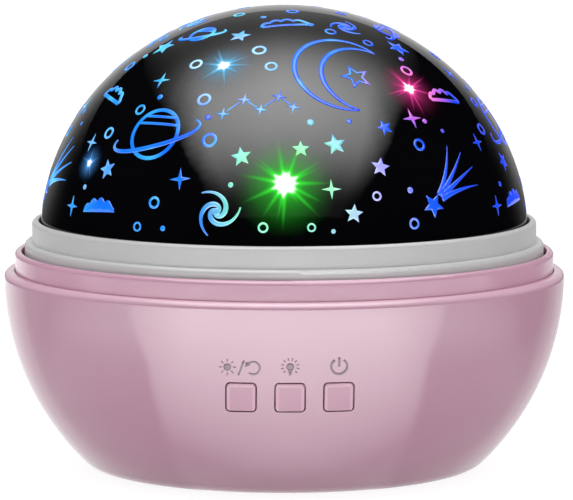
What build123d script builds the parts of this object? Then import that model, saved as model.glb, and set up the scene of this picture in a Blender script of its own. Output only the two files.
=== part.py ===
from build123d import *
import os
from math import acos, cos, hypot, pi, radians, sin, sqrt, tan

# Night light projector: a bowl-shaped base with a motor-driven turntable and a lift-off printed dome.
# Millimetres, +Z up, origin on the table under the middle of the base, buttons towards -Y.

# Bowl: the side is one arc between the foot edge and the shoulder
SHOULDER_RADIUS = 65.0
FOOT_EDGE_RADIUS = 45.0
BOWL_HEIGHT = 45.8
BOWL_BULGE = 5.4
BOWL_WALL = 2.6
BOWL_FLOOR = 2.4
RIM_WALL = 2.3
RIM_ROUND = 1.5
FOOT_EDGE_ROUND = 6.0

# Rubber feet, set in shallow pockets
FOOT_RADIUS = 3.5
FOOT_PROUD = 0.5
FOOT_POCKET = 0.8
FOOT_INSET = 8.9
FOOT_ROUND = 0.4
FOOT_COUNT = 4
FOOT_TURN = 60

# Deck: the cover that plugs into the bowl's rim and carries the turntable and the motor
SEAM_GAP = 0.2
COLLAR_WALL = 1.6
COLLAR_RISE = 4.6
COLLAR_ROUND = 1.0
COLLAR_INNER_ROUND = 0.4
DECK_SEAT_DEPTH = 3.1
DECK_PLATE = 2.0
SPIGOT_RADIUS = 11.0
SPIGOT_BORE = 6.5
THRUST_PAD_WIDTH = 3.5
THRUST_PAD_HEIGHT = 0.7

# Case screws, driven up through the bowl's posts into the deck's bosses
POST_RADIUS = 3.6
POST_INSET = 6.0
POST_COUNT = 4
DECK_BOSS_LENGTH = 10.0
POST_SEAT_THICKNESS = 3.0
HEAD_WELL_RADIUS = 2.8
CASE_SCREW_RADIUS = 1.25
CASE_SCREW_LENGTH = 10.0

# Screw heads: shares of the shank's radius
HEAD_RADIUS_SHARE = 1.9
HEAD_HEIGHT_SHARE = 1.3
CROSS_WIDTH_SHARE = 0.55
CROSS_LENGTH_SHARE = 2.2
CROSS_DEPTH_SHARE = 0.8
SMALL_SCREW_RADIUS = 0.95
SMALL_SCREW_LENGTH = 5.0

# Turntable: tray with a two-step ring that the dome stands in
TURNTABLE_GAP = 0.7
THRUST_PLAY = 0.1
LOWER_BAND_RISE = 2.1
LOWER_BAND_WALL = 2.4
LOWER_BAND_ROUND = 0.9
BAND_STEP = 1.7
UPPER_BAND_HEIGHT = 5.0
UPPER_BAND_WALL = 1.6
UPPER_BAND_ROUND = 0.9
RING_MOUTH_ROUND = 0.4
DOME_SEAT_DEPTH = 6.3
TRAY_PLATE = 2.0
HUB_WALL = 3.5
HUB_RISE = 0.8
HUB_RUNNING_CLEARANCE = 0.06

# Dome: an ellipsoid shell with a short straight skirt and three driving tabs
DOME_GAP = 0.3
DOME_RISE = 53.9
DOME_SPRING_DEPTH = 4.4
DOME_WALL = 1.6
QUARTER_ELLIPSE_SHARE = 0.5523
TAB_WIDTH = 6.0
TAB_DEPTH = 1.2
TAB_GAP = 0.3
TAB_COUNT = 3

# Drive: internal ring gear under the tray and a pinion on the motor's shaft
GEAR_MODULE = 1.0
RING_TEETH = 72
PINION_TEETH = 12
PRESSURE_ANGLE = 20.0
RING_ADDENDUM_SHARE = 0.75
PINION_ADDENDUM_SHARE = 0.9
DEDENDUM_SHARE = 1.15
FLANK_PLAY = 0.16
FLANK_POINTS = 5
GEAR_FACE = 3.4
GEAR_RIM = 4.8
GEAR_CLEARANCE = 0.3
STAKE_RADIUS = 1.3
STAKE_GAP = 0.1
STAKE_COUNT = 6

# Gear motor, hung under the deck
MOTOR_AZIMUTH = 90.0
GEARBOX_RADIUS = 12.0
GEARBOX_HEIGHT = 8.0
CAN_RADIUS = 10.0
CAN_HEIGHT = 8.0
CAN_ROUND = 0.8
TERMINAL_CAP_RADIUS = 5.0
TERMINAL_CAP_HEIGHT = 1.2
MOTOR_EAR_SPAN = 32.0
MOTOR_EAR_RADIUS = 3.2
MOTOR_EAR_THICKNESS = 2.0
MOTOR_BOSS_RADIUS = 2.8
MOTOR_BOSS_LENGTH = 4.0
SHAFT_RADIUS = 1.5
SHAFT_CLEARANCE = 0.05
SHAFT_ENGAGEMENT = 5.0
SHAFT_HOLE_RADIUS = 3.4

# Light source: a fixed post through the turntable's hub, with a round board and four lamps
POST_FLANGE_WIDTH = 3.0
POST_FLANGE_THICKNESS = 1.5
LAMP_POST_RADIUS = 6.0
LAMP_POST_BORE = 4.4
LAMP_POST_HEIGHT = 7.0
PLUG_LENGTH = 4.0
PLUG_GAP = 0.1
LAMP_SEAT_THICKNESS = 1.6
LAMP_BOARD_RADIUS = 10.5
LAMP_BOARD_THICKNESS = 1.2
LAMP_CIRCLE = 5.4
LAMP_RADIUS = 2.5
LAMP_FLANGE_RADIUS = 2.9
LAMP_FLANGE_HEIGHT = 1.0
LAMP_BARREL = 5.0
LAMP_SCREW_CIRCLE = 8.0
LAMP_SCREW_BOSS_RADIUS = 2.0
LAMP_SCREW_BOSS_LENGTH = 3.4
POST_SCREW_COUNT = 3
LAMP_SCREW_COUNT = 2

# Buttons in the front of the bowl
BUTTON_HEIGHT = 24.4
BUTTON_PITCH = 10.8
BUTTON_WINDOW = 7.0
BUTTON_CORNER = 1.1
BUTTON_GAP = 0.3
BUTTON_PROUD = 0.5
BUTTON_ROUND = 0.45
BUTTON_TRAVEL = 0.5
BUTTON_FLANGE_MARGIN = 1.2
BUTTON_FLANGE_THICKNESS = 1.2
BUTTON_FLANGE_GAP = 0.15
BUTTON_STEM_RADIUS = 1.9

# Control board behind the buttons, with its switches, chip and connectors
BUTTON_TO_BOARD = 11.4
BOARD_EDGE = 3.5
BOARD_HEIGHT = 18.0
BOARD_THICKNESS = 1.6
BOARD_POST_RADIUS = 2.6
BOARD_POST_SPAN = 37.0
SWITCH_WIDTH = 6.0
SWITCH_HEIGHT = 3.5
SWITCH_CORNER = 0.5
PLUNGER_RADIUS = 1.7
PLUNGER_PROUD = 1.3
PLUNGER_SLEEVE = 0.1
PLUNGER_ENGAGEMENT = 0.7
CHIP_WIDTH = 6.0
CHIP_HEIGHT = 5.0
CHIP_THICKNESS = 1.6
CHIP_DROP = 4.5
CONNECTOR_WIDTH = 5.6
CONNECTOR_HEIGHT = 4.6
CONNECTOR_DEPTH = 5.0
CONNECTOR_PITCH = 8.0
CONNECTOR_COUNT = 4
CONNECTOR_LIFT = 5.0

# Battery bay moulded into the bowl, four cells side by side along Y, each lying along X
CELL_RADIUS = 5.25
CELL_LENGTH = 43.2
CELL_ROUND = 0.6
NUB_RADIUS = 1.9
NUB_LENGTH = 1.3
CELL_PITCH = 10.9
CELL_COUNT = 4
CELL_CLEARANCE = 0.3
CONTACT_THICKNESS = 0.4
CONTACT_SPRING = 1.4
CONTACT_SPRING_RADIUS = 2.6
CONTACT_WIDTH = 7.0
BAY_WALL = 1.6
DOOR_PLATE = 1.6
DOOR_LIP = 1.8
DOOR_GAP = 0.3
DOOR_CORNER = 2.0
DOOR_TONGUE_WIDTH = 10.0
DOOR_BOSS_RADIUS = 3.0
DOOR_BOSS_HEIGHT = 8.0
DOOR_SCREW_SINK = 0.3
TAB_SLOT_GAP = 0.3
TAB_SLOT_WIDTH = 3.0
TAB_RISE = 3.0

# Power inlet at the rear
SOCKET_HEIGHT = 16.0
SOCKET_WIDTH = 9.0
SOCKET_BODY_HEIGHT = 8.0
SOCKET_LENGTH = 11.0
SOCKET_WALL_GAP = 0.3
NOSE_RADIUS = 3.6
NOSE_GAP = 0.3
NOSE_RECESS = 0.4
JACK_BORE = 1.8
JACK_DEPTH = 9.0
JACK_PIN_RADIUS = 0.65
JACK_PIN_ROOT = 2.0
PEDESTAL_DEPTH = 8.0

# Wiring
LEAD_RADIUS = 0.65
LEAD_SPACING = 1.6
LEAD_EXIT = 3.0
LEAD_BEND_SHARE = 0.45

CUT_OVERRUN = 1.0
MATCH_TOLERANCE = 0.001

# Levels, from the table up
bowl_z = FOOT_PROUD
floor_z = bowl_z + BOWL_FLOOR
rim_z = bowl_z + BOWL_HEIGHT
deck_z = rim_z - DECK_SEAT_DEPTH
deck_top_z = deck_z + DECK_PLATE
boss_end_z = deck_z - DECK_BOSS_LENGTH
collar_top_z = rim_z + COLLAR_RISE
turntable_z = deck_top_z + THRUST_PAD_HEIGHT + THRUST_PLAY
band_step_z = collar_top_z + LOWER_BAND_RISE
band_top_z = band_step_z + UPPER_BAND_HEIGHT
tray_top_z = band_top_z - DOME_SEAT_DEPTH
tray_z = tray_top_z - TRAY_PLATE
hub_top_z = tray_top_z + HUB_RISE
spigot_top_z = hub_top_z + THRUST_PLAY
flange_top_z = spigot_top_z + POST_FLANGE_THICKNESS
lamp_seat_z = flange_top_z + LAMP_POST_HEIGHT
lamp_board_z = lamp_seat_z + LAMP_SEAT_THICKNESS
lamp_z = lamp_board_z + LAMP_BOARD_THICKNESS
dome_spring_z = band_top_z - DOME_SPRING_DEPTH

# Radii, from the shoulder inwards
rebate_r = SHOULDER_RADIUS - RIM_WALL
collar_r = rebate_r - SEAM_GAP
collar_inner_r = collar_r - COLLAR_WALL
lower_band_r = collar_inner_r - TURNTABLE_GAP
upper_band_r = lower_band_r - BAND_STEP
ring_bore_r = upper_band_r - UPPER_BAND_WALL
dome_r = ring_bore_r - DOME_GAP
hub_bore_r = SPIGOT_RADIUS + HUB_RUNNING_CLEARANCE
hub_r = hub_bore_r + HUB_WALL
post_circle_r = FOOT_EDGE_RADIUS - POST_INSET
feet_circle_r = FOOT_EDGE_RADIUS - FOOT_INSET
ring_pitch_r = GEAR_MODULE * RING_TEETH / 2
pinion_pitch_r = GEAR_MODULE * PINION_TEETH / 2
ring_root_r = ring_pitch_r + DEDENDUM_SHARE * GEAR_MODULE
ring_gear_r = ring_root_r + GEAR_RIM
post_screw_circle_r = (SPIGOT_RADIUS + SPIGOT_BORE) / 2

# The side arc's centre and radius, from its chord and its bulge
chord_r = SHOULDER_RADIUS - FOOT_EDGE_RADIUS
chord = hypot(chord_r, BOWL_HEIGHT)
side_radius = (chord**2 / 4 + BOWL_BULGE**2) / (2 * BOWL_BULGE)
side_offset = side_radius - BOWL_BULGE
side_centre_r = (FOOT_EDGE_RADIUS + SHOULDER_RADIUS) / 2 - side_offset * BOWL_HEIGHT / chord
side_centre_z = bowl_z + BOWL_HEIGHT / 2 + side_offset * chord_r / chord


def side_r(z, inset=0):
    """Radius of the bowl's side at height z, on the arc that lies inset behind the outer face."""
    return side_centre_r + sqrt((side_radius - inset) ** 2 - (side_centre_z - z) ** 2)


# Places along the front and the rear
button_z = bowl_z + BUTTON_HEIGHT
board_y = BUTTON_TO_BOARD - side_r(button_z, BOWL_WALL)
board_back_y = board_y + BOARD_THICKNESS
plunger_y = board_y - SWITCH_HEIGHT - PLUNGER_PROUD
socket_z = bowl_z + SOCKET_HEIGHT
socket_low_z = socket_z - SOCKET_BODY_HEIGHT / 2
socket_front_y = sqrt(side_r(socket_low_z, BOWL_WALL) ** 2 - (SOCKET_WIDTH / 2) ** 2) - SOCKET_WALL_GAP
socket_back_y = socket_front_y - SOCKET_LENGTH
nose_y = side_r(socket_z - NOSE_RADIUS) - NOSE_RECESS

# Battery bay
contact_room = CONTACT_THICKNESS + CONTACT_SPRING
bay_length = CELL_LENGTH + NUB_LENGTH + 2 * contact_room
bay_width = CELL_COUNT * CELL_PITCH
door_inner_z = bowl_z + DOOR_PLATE
cell_z = door_inner_z + CELL_CLEARANCE + CELL_RADIUS
bay_roof_z = cell_z + CELL_RADIUS + CELL_CLEARANCE
bay_top_z = bay_roof_z + BAY_WALL
door_screw_x = bay_length / 2 + BAY_WALL + DOOR_BOSS_RADIUS
door_end_x = door_screw_x + DOOR_BOSS_RADIUS + DOOR_LIP

# Motor place, fixed by the gears' centre distance
motor_distance = ring_pitch_r - pinion_pitch_r
motor_x = motor_distance * cos(radians(MOTOR_AZIMUTH))
motor_y = motor_distance * sin(radians(MOTOR_AZIMUTH))
gearbox_z = deck_z - GEARBOX_HEIGHT
can_z = gearbox_z - CAN_HEIGHT
ear_top_z = deck_z - MOTOR_BOSS_LENGTH
ear_z = ear_top_z - MOTOR_EAR_THICKNESS
gear_z = tray_z - GEAR_FACE
pinion_z = deck_top_z + GEAR_CLEARANCE
pinion_top_z = tray_z - GEAR_CLEARANCE


def lathe(*edges):
    """Solid turned about Z from a closed outline of edges drawn as (radius, height)."""
    return revolve(Plane.XZ * make_face(Curve() + list(edges)), Axis.Z)


def turned(*corners):
    """Solid turned about Z from a closed outline of (radius, height, rounding) corners."""
    points = [(r, z) for r, z, _ in corners]
    rounds = [rounding for _, _, rounding in corners]
    return lathe(*FilletPolyline(*points, radius=rounds, close=True).edges())


def cylinder(radius, z_low, z_high, x=0, y=0):
    """Upright cylinder between two heights."""
    return Pos(x, y, z_low) * extrude(Circle(radius), z_high - z_low)


def cylinder_y(radius, y_low, y_high, x, z):
    """Cylinder along Y between two depths."""
    rod = extrude(Circle(radius), y_high - y_low)
    return Plane((x, y_high, z), x_dir=(1, 0, 0), z_dir=(0, -1, 0)) * rod


def cylinder_x(radius, x_low, x_high, y, z):
    """Cylinder along X between two places."""
    rod = extrude(Circle(radius), x_high - x_low)
    return Plane((x_low, y, z), x_dir=(0, 1, 0), z_dir=(1, 0, 0)) * rod


def slab(x_low, x_high, y_low, y_high, z_low, z_high):
    """Box between two corners."""
    size = (x_high - x_low, y_high - y_low, z_high - z_low)
    return Pos(x_low, y_low, z_low) * Box(*size, align=(Align.MIN, Align.MIN, Align.MIN))


def rounded_bar_y(width, corner, y_low, y_high, x, z):
    """Square bar with rounded corners along Y."""
    bar = extrude(RectangleRounded(width, width, corner), y_high - y_low)
    return Plane((x, y_high, z), x_dir=(1, 0, 0), z_dir=(0, -1, 0)) * bar


def around(count, start=0.0):
    """Turns about Z for a ring of equal pieces, the first at start degrees."""
    return [Rot(0, 0, start + 360 * i / count) for i in range(count)]


def ring_of(shape, count, start=0.0):
    """Copies of a shape that stands on +X, spread about Z."""
    return [turn * shape for turn in around(count, start)]


def circle_edges(part, radius, z):
    """The round edges of that radius at that height."""
    found = part.edges().filter_by(GeomType.CIRCLE)
    return [
        e
        for e in found
        if abs(e.radius - radius) < MATCH_TOLERANCE and abs(e.arc_center.Z - z) < MATCH_TOLERANCE
    ]


def screw(shank_radius, length):
    """Pan-head cross screw: head above z 0, shank below it."""
    head_radius = HEAD_RADIUS_SHARE * shank_radius
    head_height = HEAD_HEIGHT_SHARE * shank_radius
    width = CROSS_WIDTH_SHARE * shank_radius
    span = CROSS_LENGTH_SHARE * shank_radius
    depth = CROSS_DEPTH_SHARE * shank_radius
    head = turned(
        (0, 0, 0), (head_radius, 0, 0), (head_radius, head_height, head_height / 2), (0, head_height, 0)
    )
    body = head + cylinder(shank_radius, -length, 0)
    low = head_height - depth
    for turn in around(2):
        body -= turn * slab(-span / 2, span / 2, -width / 2, width / 2, low, head_height + CUT_OVERRUN)
    return body


def screw_head_height(shank_radius):
    """Height of a screw's head above its seat."""
    return HEAD_HEIGHT_SHARE * shank_radius


def pilot_radius(shank_radius):
    """Hole that a screw's shank sits in."""
    return shank_radius + SHAFT_CLEARANCE


# Bowl


def bowl_form(inset, z_low, z_high):
    """Solid inside the bowl's side arc, set in by inset, between two heights."""
    middle_z = (z_low + z_high) / 2
    low = (side_r(z_low, inset), z_low)
    middle = (side_r(middle_z, inset), middle_z)
    high = (side_r(z_high, inset), z_high)
    return lathe(
        Line((0, z_low), low),
        ThreePointArc(low, middle, high),
        Line(high, (0, z_high)),
        Line((0, z_high), (0, z_low)),
    )


def door_outline(margin):
    """The battery door's outline, larger all round by margin, with its screw tongue towards +X."""
    length = bay_length + 2 * DOOR_LIP + 2 * margin
    width = bay_width + 2 * DOOR_LIP + 2 * margin
    tongue_end = door_end_x + margin
    tongue_width = DOOR_TONGUE_WIDTH + 2 * margin
    tongue = Pos(tongue_end / 2, 0) * Rectangle(tongue_end, tongue_width)
    tongue_corners = tongue.vertices().sort_by(Axis.X)[-2:]
    return RectangleRounded(length, width, DOOR_CORNER) + fillet(tongue_corners, DOOR_CORNER)


def bowl_shell():
    """Bowl with its battery bay, screw posts, board posts, inlet pedestal and all openings."""
    shell = bowl_form(0, bowl_z, rim_z)
    shell = fillet(circle_edges(shell, SHOULDER_RADIUS, rim_z), RIM_ROUND)
    shell = fillet(circle_edges(shell, FOOT_EDGE_RADIUS, bowl_z), FOOT_EDGE_ROUND)
    shell -= bowl_form(BOWL_WALL, floor_z, deck_z)
    shell -= cylinder(rebate_r, deck_z, rim_z + CUT_OVERRUN)
    inside = bowl_form(BOWL_WALL / 2, floor_z - BOWL_FLOOR / 2, deck_z)

    half_length = bay_length / 2 + BAY_WALL
    half_width = bay_width / 2 + BAY_WALL
    shell += slab(-half_length, half_length, -half_width, half_width, floor_z, bay_top_z)
    shell += cylinder(DOOR_BOSS_RADIUS, floor_z, floor_z + DOOR_BOSS_HEIGHT, door_screw_x)
    post = cylinder(POST_RADIUS, floor_z, boss_end_z, post_circle_r)
    shell += ring_of(post, POST_COUNT, 180 / POST_COUNT)
    for x in (-BOARD_POST_SPAN / 2, BOARD_POST_SPAN / 2):
        shell += cylinder_y(BOARD_POST_RADIUS, -SHOULDER_RADIUS, board_y, x, button_z) & inside
    half_socket = SOCKET_WIDTH / 2
    pedestal_y = socket_front_y - PEDESTAL_DEPTH
    shell += slab(-half_socket, half_socket, pedestal_y, socket_front_y, floor_z, socket_low_z) & inside

    shell -= slab(-bay_length / 2, bay_length / 2, -bay_width / 2, bay_width / 2, 0, bay_roof_z)
    shell -= Pos(0, 0, bowl_z) * extrude(door_outline(DOOR_GAP), DOOR_PLATE)
    shell -= cylinder(pilot_radius(SMALL_SCREW_RADIUS), bowl_z, floor_z + DOOR_BOSS_HEIGHT, door_screw_x)
    seat_z = boss_end_z - POST_SEAT_THICKNESS
    well = cylinder(HEAD_WELL_RADIUS, 0, seat_z, post_circle_r)
    hole = cylinder(pilot_radius(CASE_SCREW_RADIUS), seat_z, boss_end_z, post_circle_r)
    shell -= ring_of(well + hole, POST_COUNT, 180 / POST_COUNT)
    shell -= ring_of(cylinder(FOOT_RADIUS, 0, bowl_z + FOOT_POCKET, feet_circle_r), FOOT_COUNT, FOOT_TURN)
    for x in button_places():
        shell -= rounded_bar_y(BUTTON_WINDOW, BUTTON_CORNER, -SHOULDER_RADIUS, plunger_y, x, button_z)
    for x in (-BOARD_POST_SPAN / 2, BOARD_POST_SPAN / 2):
        pilot = pilot_radius(SMALL_SCREW_RADIUS)
        shell -= cylinder_y(pilot, board_y - SMALL_SCREW_LENGTH, board_y, x, button_z)
    shell -= cylinder_y(NOSE_RADIUS + NOSE_GAP, socket_front_y, SHOULDER_RADIUS, 0, socket_z)
    for y in terminal_rows():
        shell -= contact_tab(y, TAB_SLOT_GAP)
    return shell


def rubber_feet():
    """Four pads in the bowl's pockets, which the object stands on."""
    top = bowl_z + FOOT_POCKET
    foot = turned((0, 0, 0), (FOOT_RADIUS, 0, FOOT_ROUND), (FOOT_RADIUS, top, 0), (0, top, 0))
    return Compound(ring_of(Pos(feet_circle_r, 0, 0) * foot, FOOT_COUNT, FOOT_TURN))


def case_screws():
    """Long screws in the wells of the bowl's posts, heads down."""
    seat_z = boss_end_z - POST_SEAT_THICKNESS
    up = Pos(post_circle_r, 0, seat_z) * Rot(180, 0, 0) * screw(CASE_SCREW_RADIUS, CASE_SCREW_LENGTH)
    return Compound(ring_of(up, POST_COUNT, 180 / POST_COUNT))


# Batteries


def cell_rows():
    """Y of each cell's axis."""
    return [(i - (CELL_COUNT - 1) / 2) * CELL_PITCH for i in range(CELL_COUNT)]


def terminal_rows():
    """Y of the first and the last cell, where the leads are soldered."""
    rows = cell_rows()
    return [rows[0], rows[-1]]


def contact_tab(y, margin):
    """Solder tab of an end contact, up through the bay's roof, grown by margin to make its slot."""
    x_low = -bay_length / 2
    x_high = x_low + CONTACT_THICKNESS + margin
    half = TAB_SLOT_WIDTH / 2 + margin
    top_z = bay_top_z + TAB_RISE + margin
    return slab(x_low, x_high, y - half, y + half, bay_roof_z - CELL_CLEARANCE, top_z)


def batteries():
    """Four cells, turned end for end in turn."""
    cells = []
    for i, y in enumerate(cell_rows()):
        case = cylinder_x(CELL_RADIUS, -CELL_LENGTH / 2, CELL_LENGTH / 2, 0, 0)
        case = fillet(case.edges(), CELL_ROUND)
        cell = case + cylinder_x(NUB_RADIUS, CELL_LENGTH / 2, CELL_LENGTH / 2 + NUB_LENGTH, 0, 0)
        cell = Pos(-NUB_LENGTH / 2, 0, 0) * cell
        cells.append(Pos(0, y, cell_z) * Rot(0, 0, 180 * (i % 2)) * cell)
    return Compound(cells)


def battery_contacts():
    """Sprung plates at both ends of the bay: pairs are bridged, the two end plates carry solder tabs."""
    rows = cell_rows()
    low_z = door_inner_z + CELL_CLEARANCE
    high_z = bay_roof_z - CELL_CLEARANCE
    pairs = {1: [rows[0:2], rows[2:4]], -1: [rows[0:1], rows[1:3], rows[3:4]]}
    plates = []
    for side, groups in pairs.items():
        wall_x = side * bay_length / 2
        face_x = wall_x - side * CONTACT_THICKNESS
        tip_x = face_x - side * CONTACT_SPRING
        for group in groups:
            y_low = group[0] - CONTACT_WIDTH / 2
            y_high = group[-1] + CONTACT_WIDTH / 2
            plate = slab(min(wall_x, face_x), max(wall_x, face_x), y_low, y_high, low_z, high_z)
            spring_low, spring_high = min(face_x, tip_x), max(face_x, tip_x)
            for y in group:
                plate += cylinder_x(CONTACT_SPRING_RADIUS, spring_low, spring_high, y, cell_z)
            if len(group) == 1:
                plate += contact_tab(group[0], 0)
            plates.append(plate)
    return Compound(plates)


def battery_door():
    """Flush door with a lip all round and a tongue for its screw."""
    door = Pos(0, 0, bowl_z) * extrude(door_outline(0), DOOR_PLATE)
    head_radius = HEAD_RADIUS_SHARE * SMALL_SCREW_RADIUS
    head_top = bowl_z + DOOR_SCREW_SINK + screw_head_height(SMALL_SCREW_RADIUS)
    door -= cylinder(head_radius + SHAFT_CLEARANCE, 0, head_top, door_screw_x)
    door -= cylinder(pilot_radius(SMALL_SCREW_RADIUS), 0, door_inner_z + CUT_OVERRUN, door_screw_x)
    return door


def door_screw():
    """Captive screw of the battery door, head down."""
    seat_z = bowl_z + DOOR_SCREW_SINK + screw_head_height(SMALL_SCREW_RADIUS)
    return Pos(door_screw_x, 0, seat_z) * Rot(180, 0, 0) * screw(SMALL_SCREW_RADIUS, SMALL_SCREW_LENGTH)


# Deck and drive


def motor_screw_places():
    """X and Y of the motor's two ear screws, across the line from the axis to the motor."""
    angle = radians(MOTOR_AZIMUTH)
    half = MOTOR_EAR_SPAN / 2
    return [(motor_x - s * half * sin(angle), motor_y + s * half * cos(angle)) for s in (-1, 1)]


def deck():
    """Cover with collar, thrust pad and hollow spigot on top, screw bosses below."""
    thrust_r = SPIGOT_RADIUS + THRUST_PAD_WIDTH
    pad_z = deck_top_z + THRUST_PAD_HEIGHT
    body = turned(
        (SPIGOT_BORE, deck_z, 0),
        (collar_r, deck_z, 0),
        (collar_r, collar_top_z, COLLAR_ROUND),
        (collar_inner_r, collar_top_z, COLLAR_INNER_ROUND),
        (collar_inner_r, deck_top_z, 0),
        (thrust_r, deck_top_z, 0),
        (thrust_r, pad_z, 0),
        (SPIGOT_RADIUS, pad_z, 0),
        (SPIGOT_RADIUS, spigot_top_z, 0),
        (SPIGOT_BORE, spigot_top_z, 0),
    )
    body += ring_of(cylinder(POST_RADIUS, boss_end_z, deck_z, post_circle_r), POST_COUNT, 180 / POST_COUNT)
    pilot = cylinder(pilot_radius(CASE_SCREW_RADIUS), boss_end_z, deck_z, post_circle_r)
    body -= ring_of(pilot, POST_COUNT, 180 / POST_COUNT)
    small_pilot = pilot_radius(SMALL_SCREW_RADIUS)
    for x, y in motor_screw_places():
        body += cylinder(MOTOR_BOSS_RADIUS, ear_top_z, deck_z, x, y)
        body -= cylinder(small_pilot, ear_top_z, deck_z, x, y)
    body -= cylinder(SHAFT_HOLE_RADIUS, deck_z, deck_top_z, motor_x, motor_y)
    pilot_z = flange_top_z - SMALL_SCREW_LENGTH
    spigot_pilot = cylinder(small_pilot, pilot_z, spigot_top_z, post_screw_circle_r)
    body -= ring_of(spigot_pilot, POST_SCREW_COUNT)
    return body


def involute(angle):
    """Involute function of a pressure angle in radians."""
    return tan(angle) - angle


def gear_outline(teeth, tip_r, root_r, play, start):
    """Spur gear face with involute flanks, each tooth thinned by play, the first at start degrees."""
    pitch_r = GEAR_MODULE * teeth / 2
    base_r = pitch_r * cos(radians(PRESSURE_ANGLE))
    half_tooth = pi / (2 * teeth) - play / (2 * pitch_r) + involute(radians(PRESSURE_ANGLE))
    flank = []
    for i in range(FLANK_POINTS):
        r = root_r + (tip_r - root_r) * i / (FLANK_POINTS - 1)
        flank.append((r, half_tooth - involute(acos(base_r / max(r, base_r)))))
    points = []
    for i in range(teeth):
        middle = radians(start) + 2 * pi * i / teeth
        points += [(r * cos(middle - a), r * sin(middle - a)) for r, a in flank]
        points += [(r * cos(middle + a), r * sin(middle + a)) for r, a in reversed(flank)]
    return make_face(Polyline(*points, close=True))


def ring_gear():
    """Internal gear staked under the tray: its tooth spaces have the form of an outer gear's teeth."""
    tip_r = ring_pitch_r - RING_ADDENDUM_SHARE * GEAR_MODULE
    spaces = gear_outline(RING_TEETH, ring_root_r, tip_r, -FLANK_PLAY, MOTOR_AZIMUTH)
    gear = Pos(0, 0, gear_z) * extrude(Circle(ring_gear_r) - spaces, GEAR_FACE)
    for stake in gear_stakes(STAKE_GAP):
        gear -= stake
    return gear


def gear_stakes(margin):
    """The tray's stakes through the ring gear, grown by margin to make their holes."""
    stake = cylinder(STAKE_RADIUS + margin, gear_z, tray_z, (ring_root_r + ring_gear_r) / 2)
    return ring_of(stake, STAKE_COUNT)


def drive_pinion():
    """Pinion on the motor's shaft, one tooth in the ring gear's space at rest."""
    tip_r = pinion_pitch_r + PINION_ADDENDUM_SHARE * GEAR_MODULE
    root_r = pinion_pitch_r - DEDENDUM_SHARE * GEAR_MODULE
    outline = gear_outline(PINION_TEETH, tip_r, root_r, FLANK_PLAY, MOTOR_AZIMUTH)
    face = outline - Circle(SHAFT_RADIUS)
    return Pos(motor_x, motor_y, pinion_z) * extrude(face, pinion_top_z - pinion_z)


def motor_shaft():
    """Output shaft from the gearbox up through the deck into the pinion."""
    return cylinder(SHAFT_RADIUS, deck_z - SHAFT_ENGAGEMENT, pinion_top_z, motor_x, motor_y)


def motor_gearbox():
    """Round gearbox with two screw ears, against the deck's underside."""
    box = cylinder(GEARBOX_RADIUS, gearbox_z, deck_z)
    for side in (-1, 1):
        ear_x = side * MOTOR_EAR_SPAN / 2
        low_x, high_x = min(0, ear_x), max(0, ear_x)
        box += slab(low_x, high_x, -MOTOR_EAR_RADIUS, MOTOR_EAR_RADIUS, ear_z, ear_top_z)
        box += cylinder(MOTOR_EAR_RADIUS, ear_z, ear_top_z, ear_x)
    for side in (-1, 1):
        box -= cylinder(pilot_radius(SMALL_SCREW_RADIUS), ear_z, ear_top_z, side * MOTOR_EAR_SPAN / 2)
    box -= cylinder(SHAFT_RADIUS + SHAFT_CLEARANCE, deck_z - SHAFT_ENGAGEMENT, deck_z)
    return Pos(motor_x, motor_y, 0) * Rot(0, 0, MOTOR_AZIMUTH - 90) * box


def motor_can():
    """Drawn motor can under the gearbox, with its terminal cap."""
    can = turned(
        (0, can_z, 0),
        (CAN_RADIUS, can_z, CAN_ROUND),
        (CAN_RADIUS, gearbox_z, 0),
        (0, gearbox_z, 0),
    )
    can += cylinder(TERMINAL_CAP_RADIUS, can_z - TERMINAL_CAP_HEIGHT, can_z)
    return Pos(motor_x, motor_y, 0) * can


def motor_screws():
    """Two screws up through the motor's ears into the deck."""
    up = Rot(180, 0, 0) * screw(SMALL_SCREW_RADIUS, SMALL_SCREW_LENGTH)
    return Compound([Pos(x, y, ear_z) * up for x, y in motor_screw_places()])


# Turntable and dome


def tab_blocks(margin):
    """Blocks that stand where the dome's driving tabs are, grown by margin."""
    half = TAB_WIDTH / 2 + margin
    outer_r = dome_r + CUT_OVERRUN
    block = slab(0, outer_r, -half, half, tray_top_z - TAB_DEPTH - margin, tray_top_z)
    return ring_of(block, TAB_COUNT)


def tab_pockets():
    """Pockets in the tray for the dome's tabs, with room all round them."""
    low_z = tray_top_z - TAB_DEPTH - TAB_GAP
    band = cylinder(ring_bore_r, low_z, tray_top_z)
    band -= cylinder(dome_r - DOME_WALL - TAB_GAP, low_z, tray_top_z)
    return [band & block for block in tab_blocks(TAB_GAP)]


def turntable():
    """Tray with its hub, the two-step ring, the pockets for the dome's tabs and the gear's stakes."""
    lower_inner_r = lower_band_r - LOWER_BAND_WALL
    body = turned(
        (hub_bore_r, turntable_z, 0),
        (hub_r, turntable_z, 0),
        (hub_r, tray_z, 0),
        (lower_inner_r, tray_z, 0),
        (lower_inner_r, turntable_z, 0),
        (lower_band_r, turntable_z, 0),
        (lower_band_r, band_step_z, LOWER_BAND_ROUND),
        (upper_band_r, band_step_z, 0),
        (upper_band_r, band_top_z, UPPER_BAND_ROUND),
        (ring_bore_r, band_top_z, RING_MOUTH_ROUND),
        (ring_bore_r, tray_top_z, 0),
        (hub_r, tray_top_z, 0),
        (hub_r, hub_top_z, 0),
        (hub_bore_r, hub_top_z, 0),
    )
    for pocket in tab_pockets():
        body -= pocket
    for stake in gear_stakes(0):
        body += stake
    return body


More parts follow.
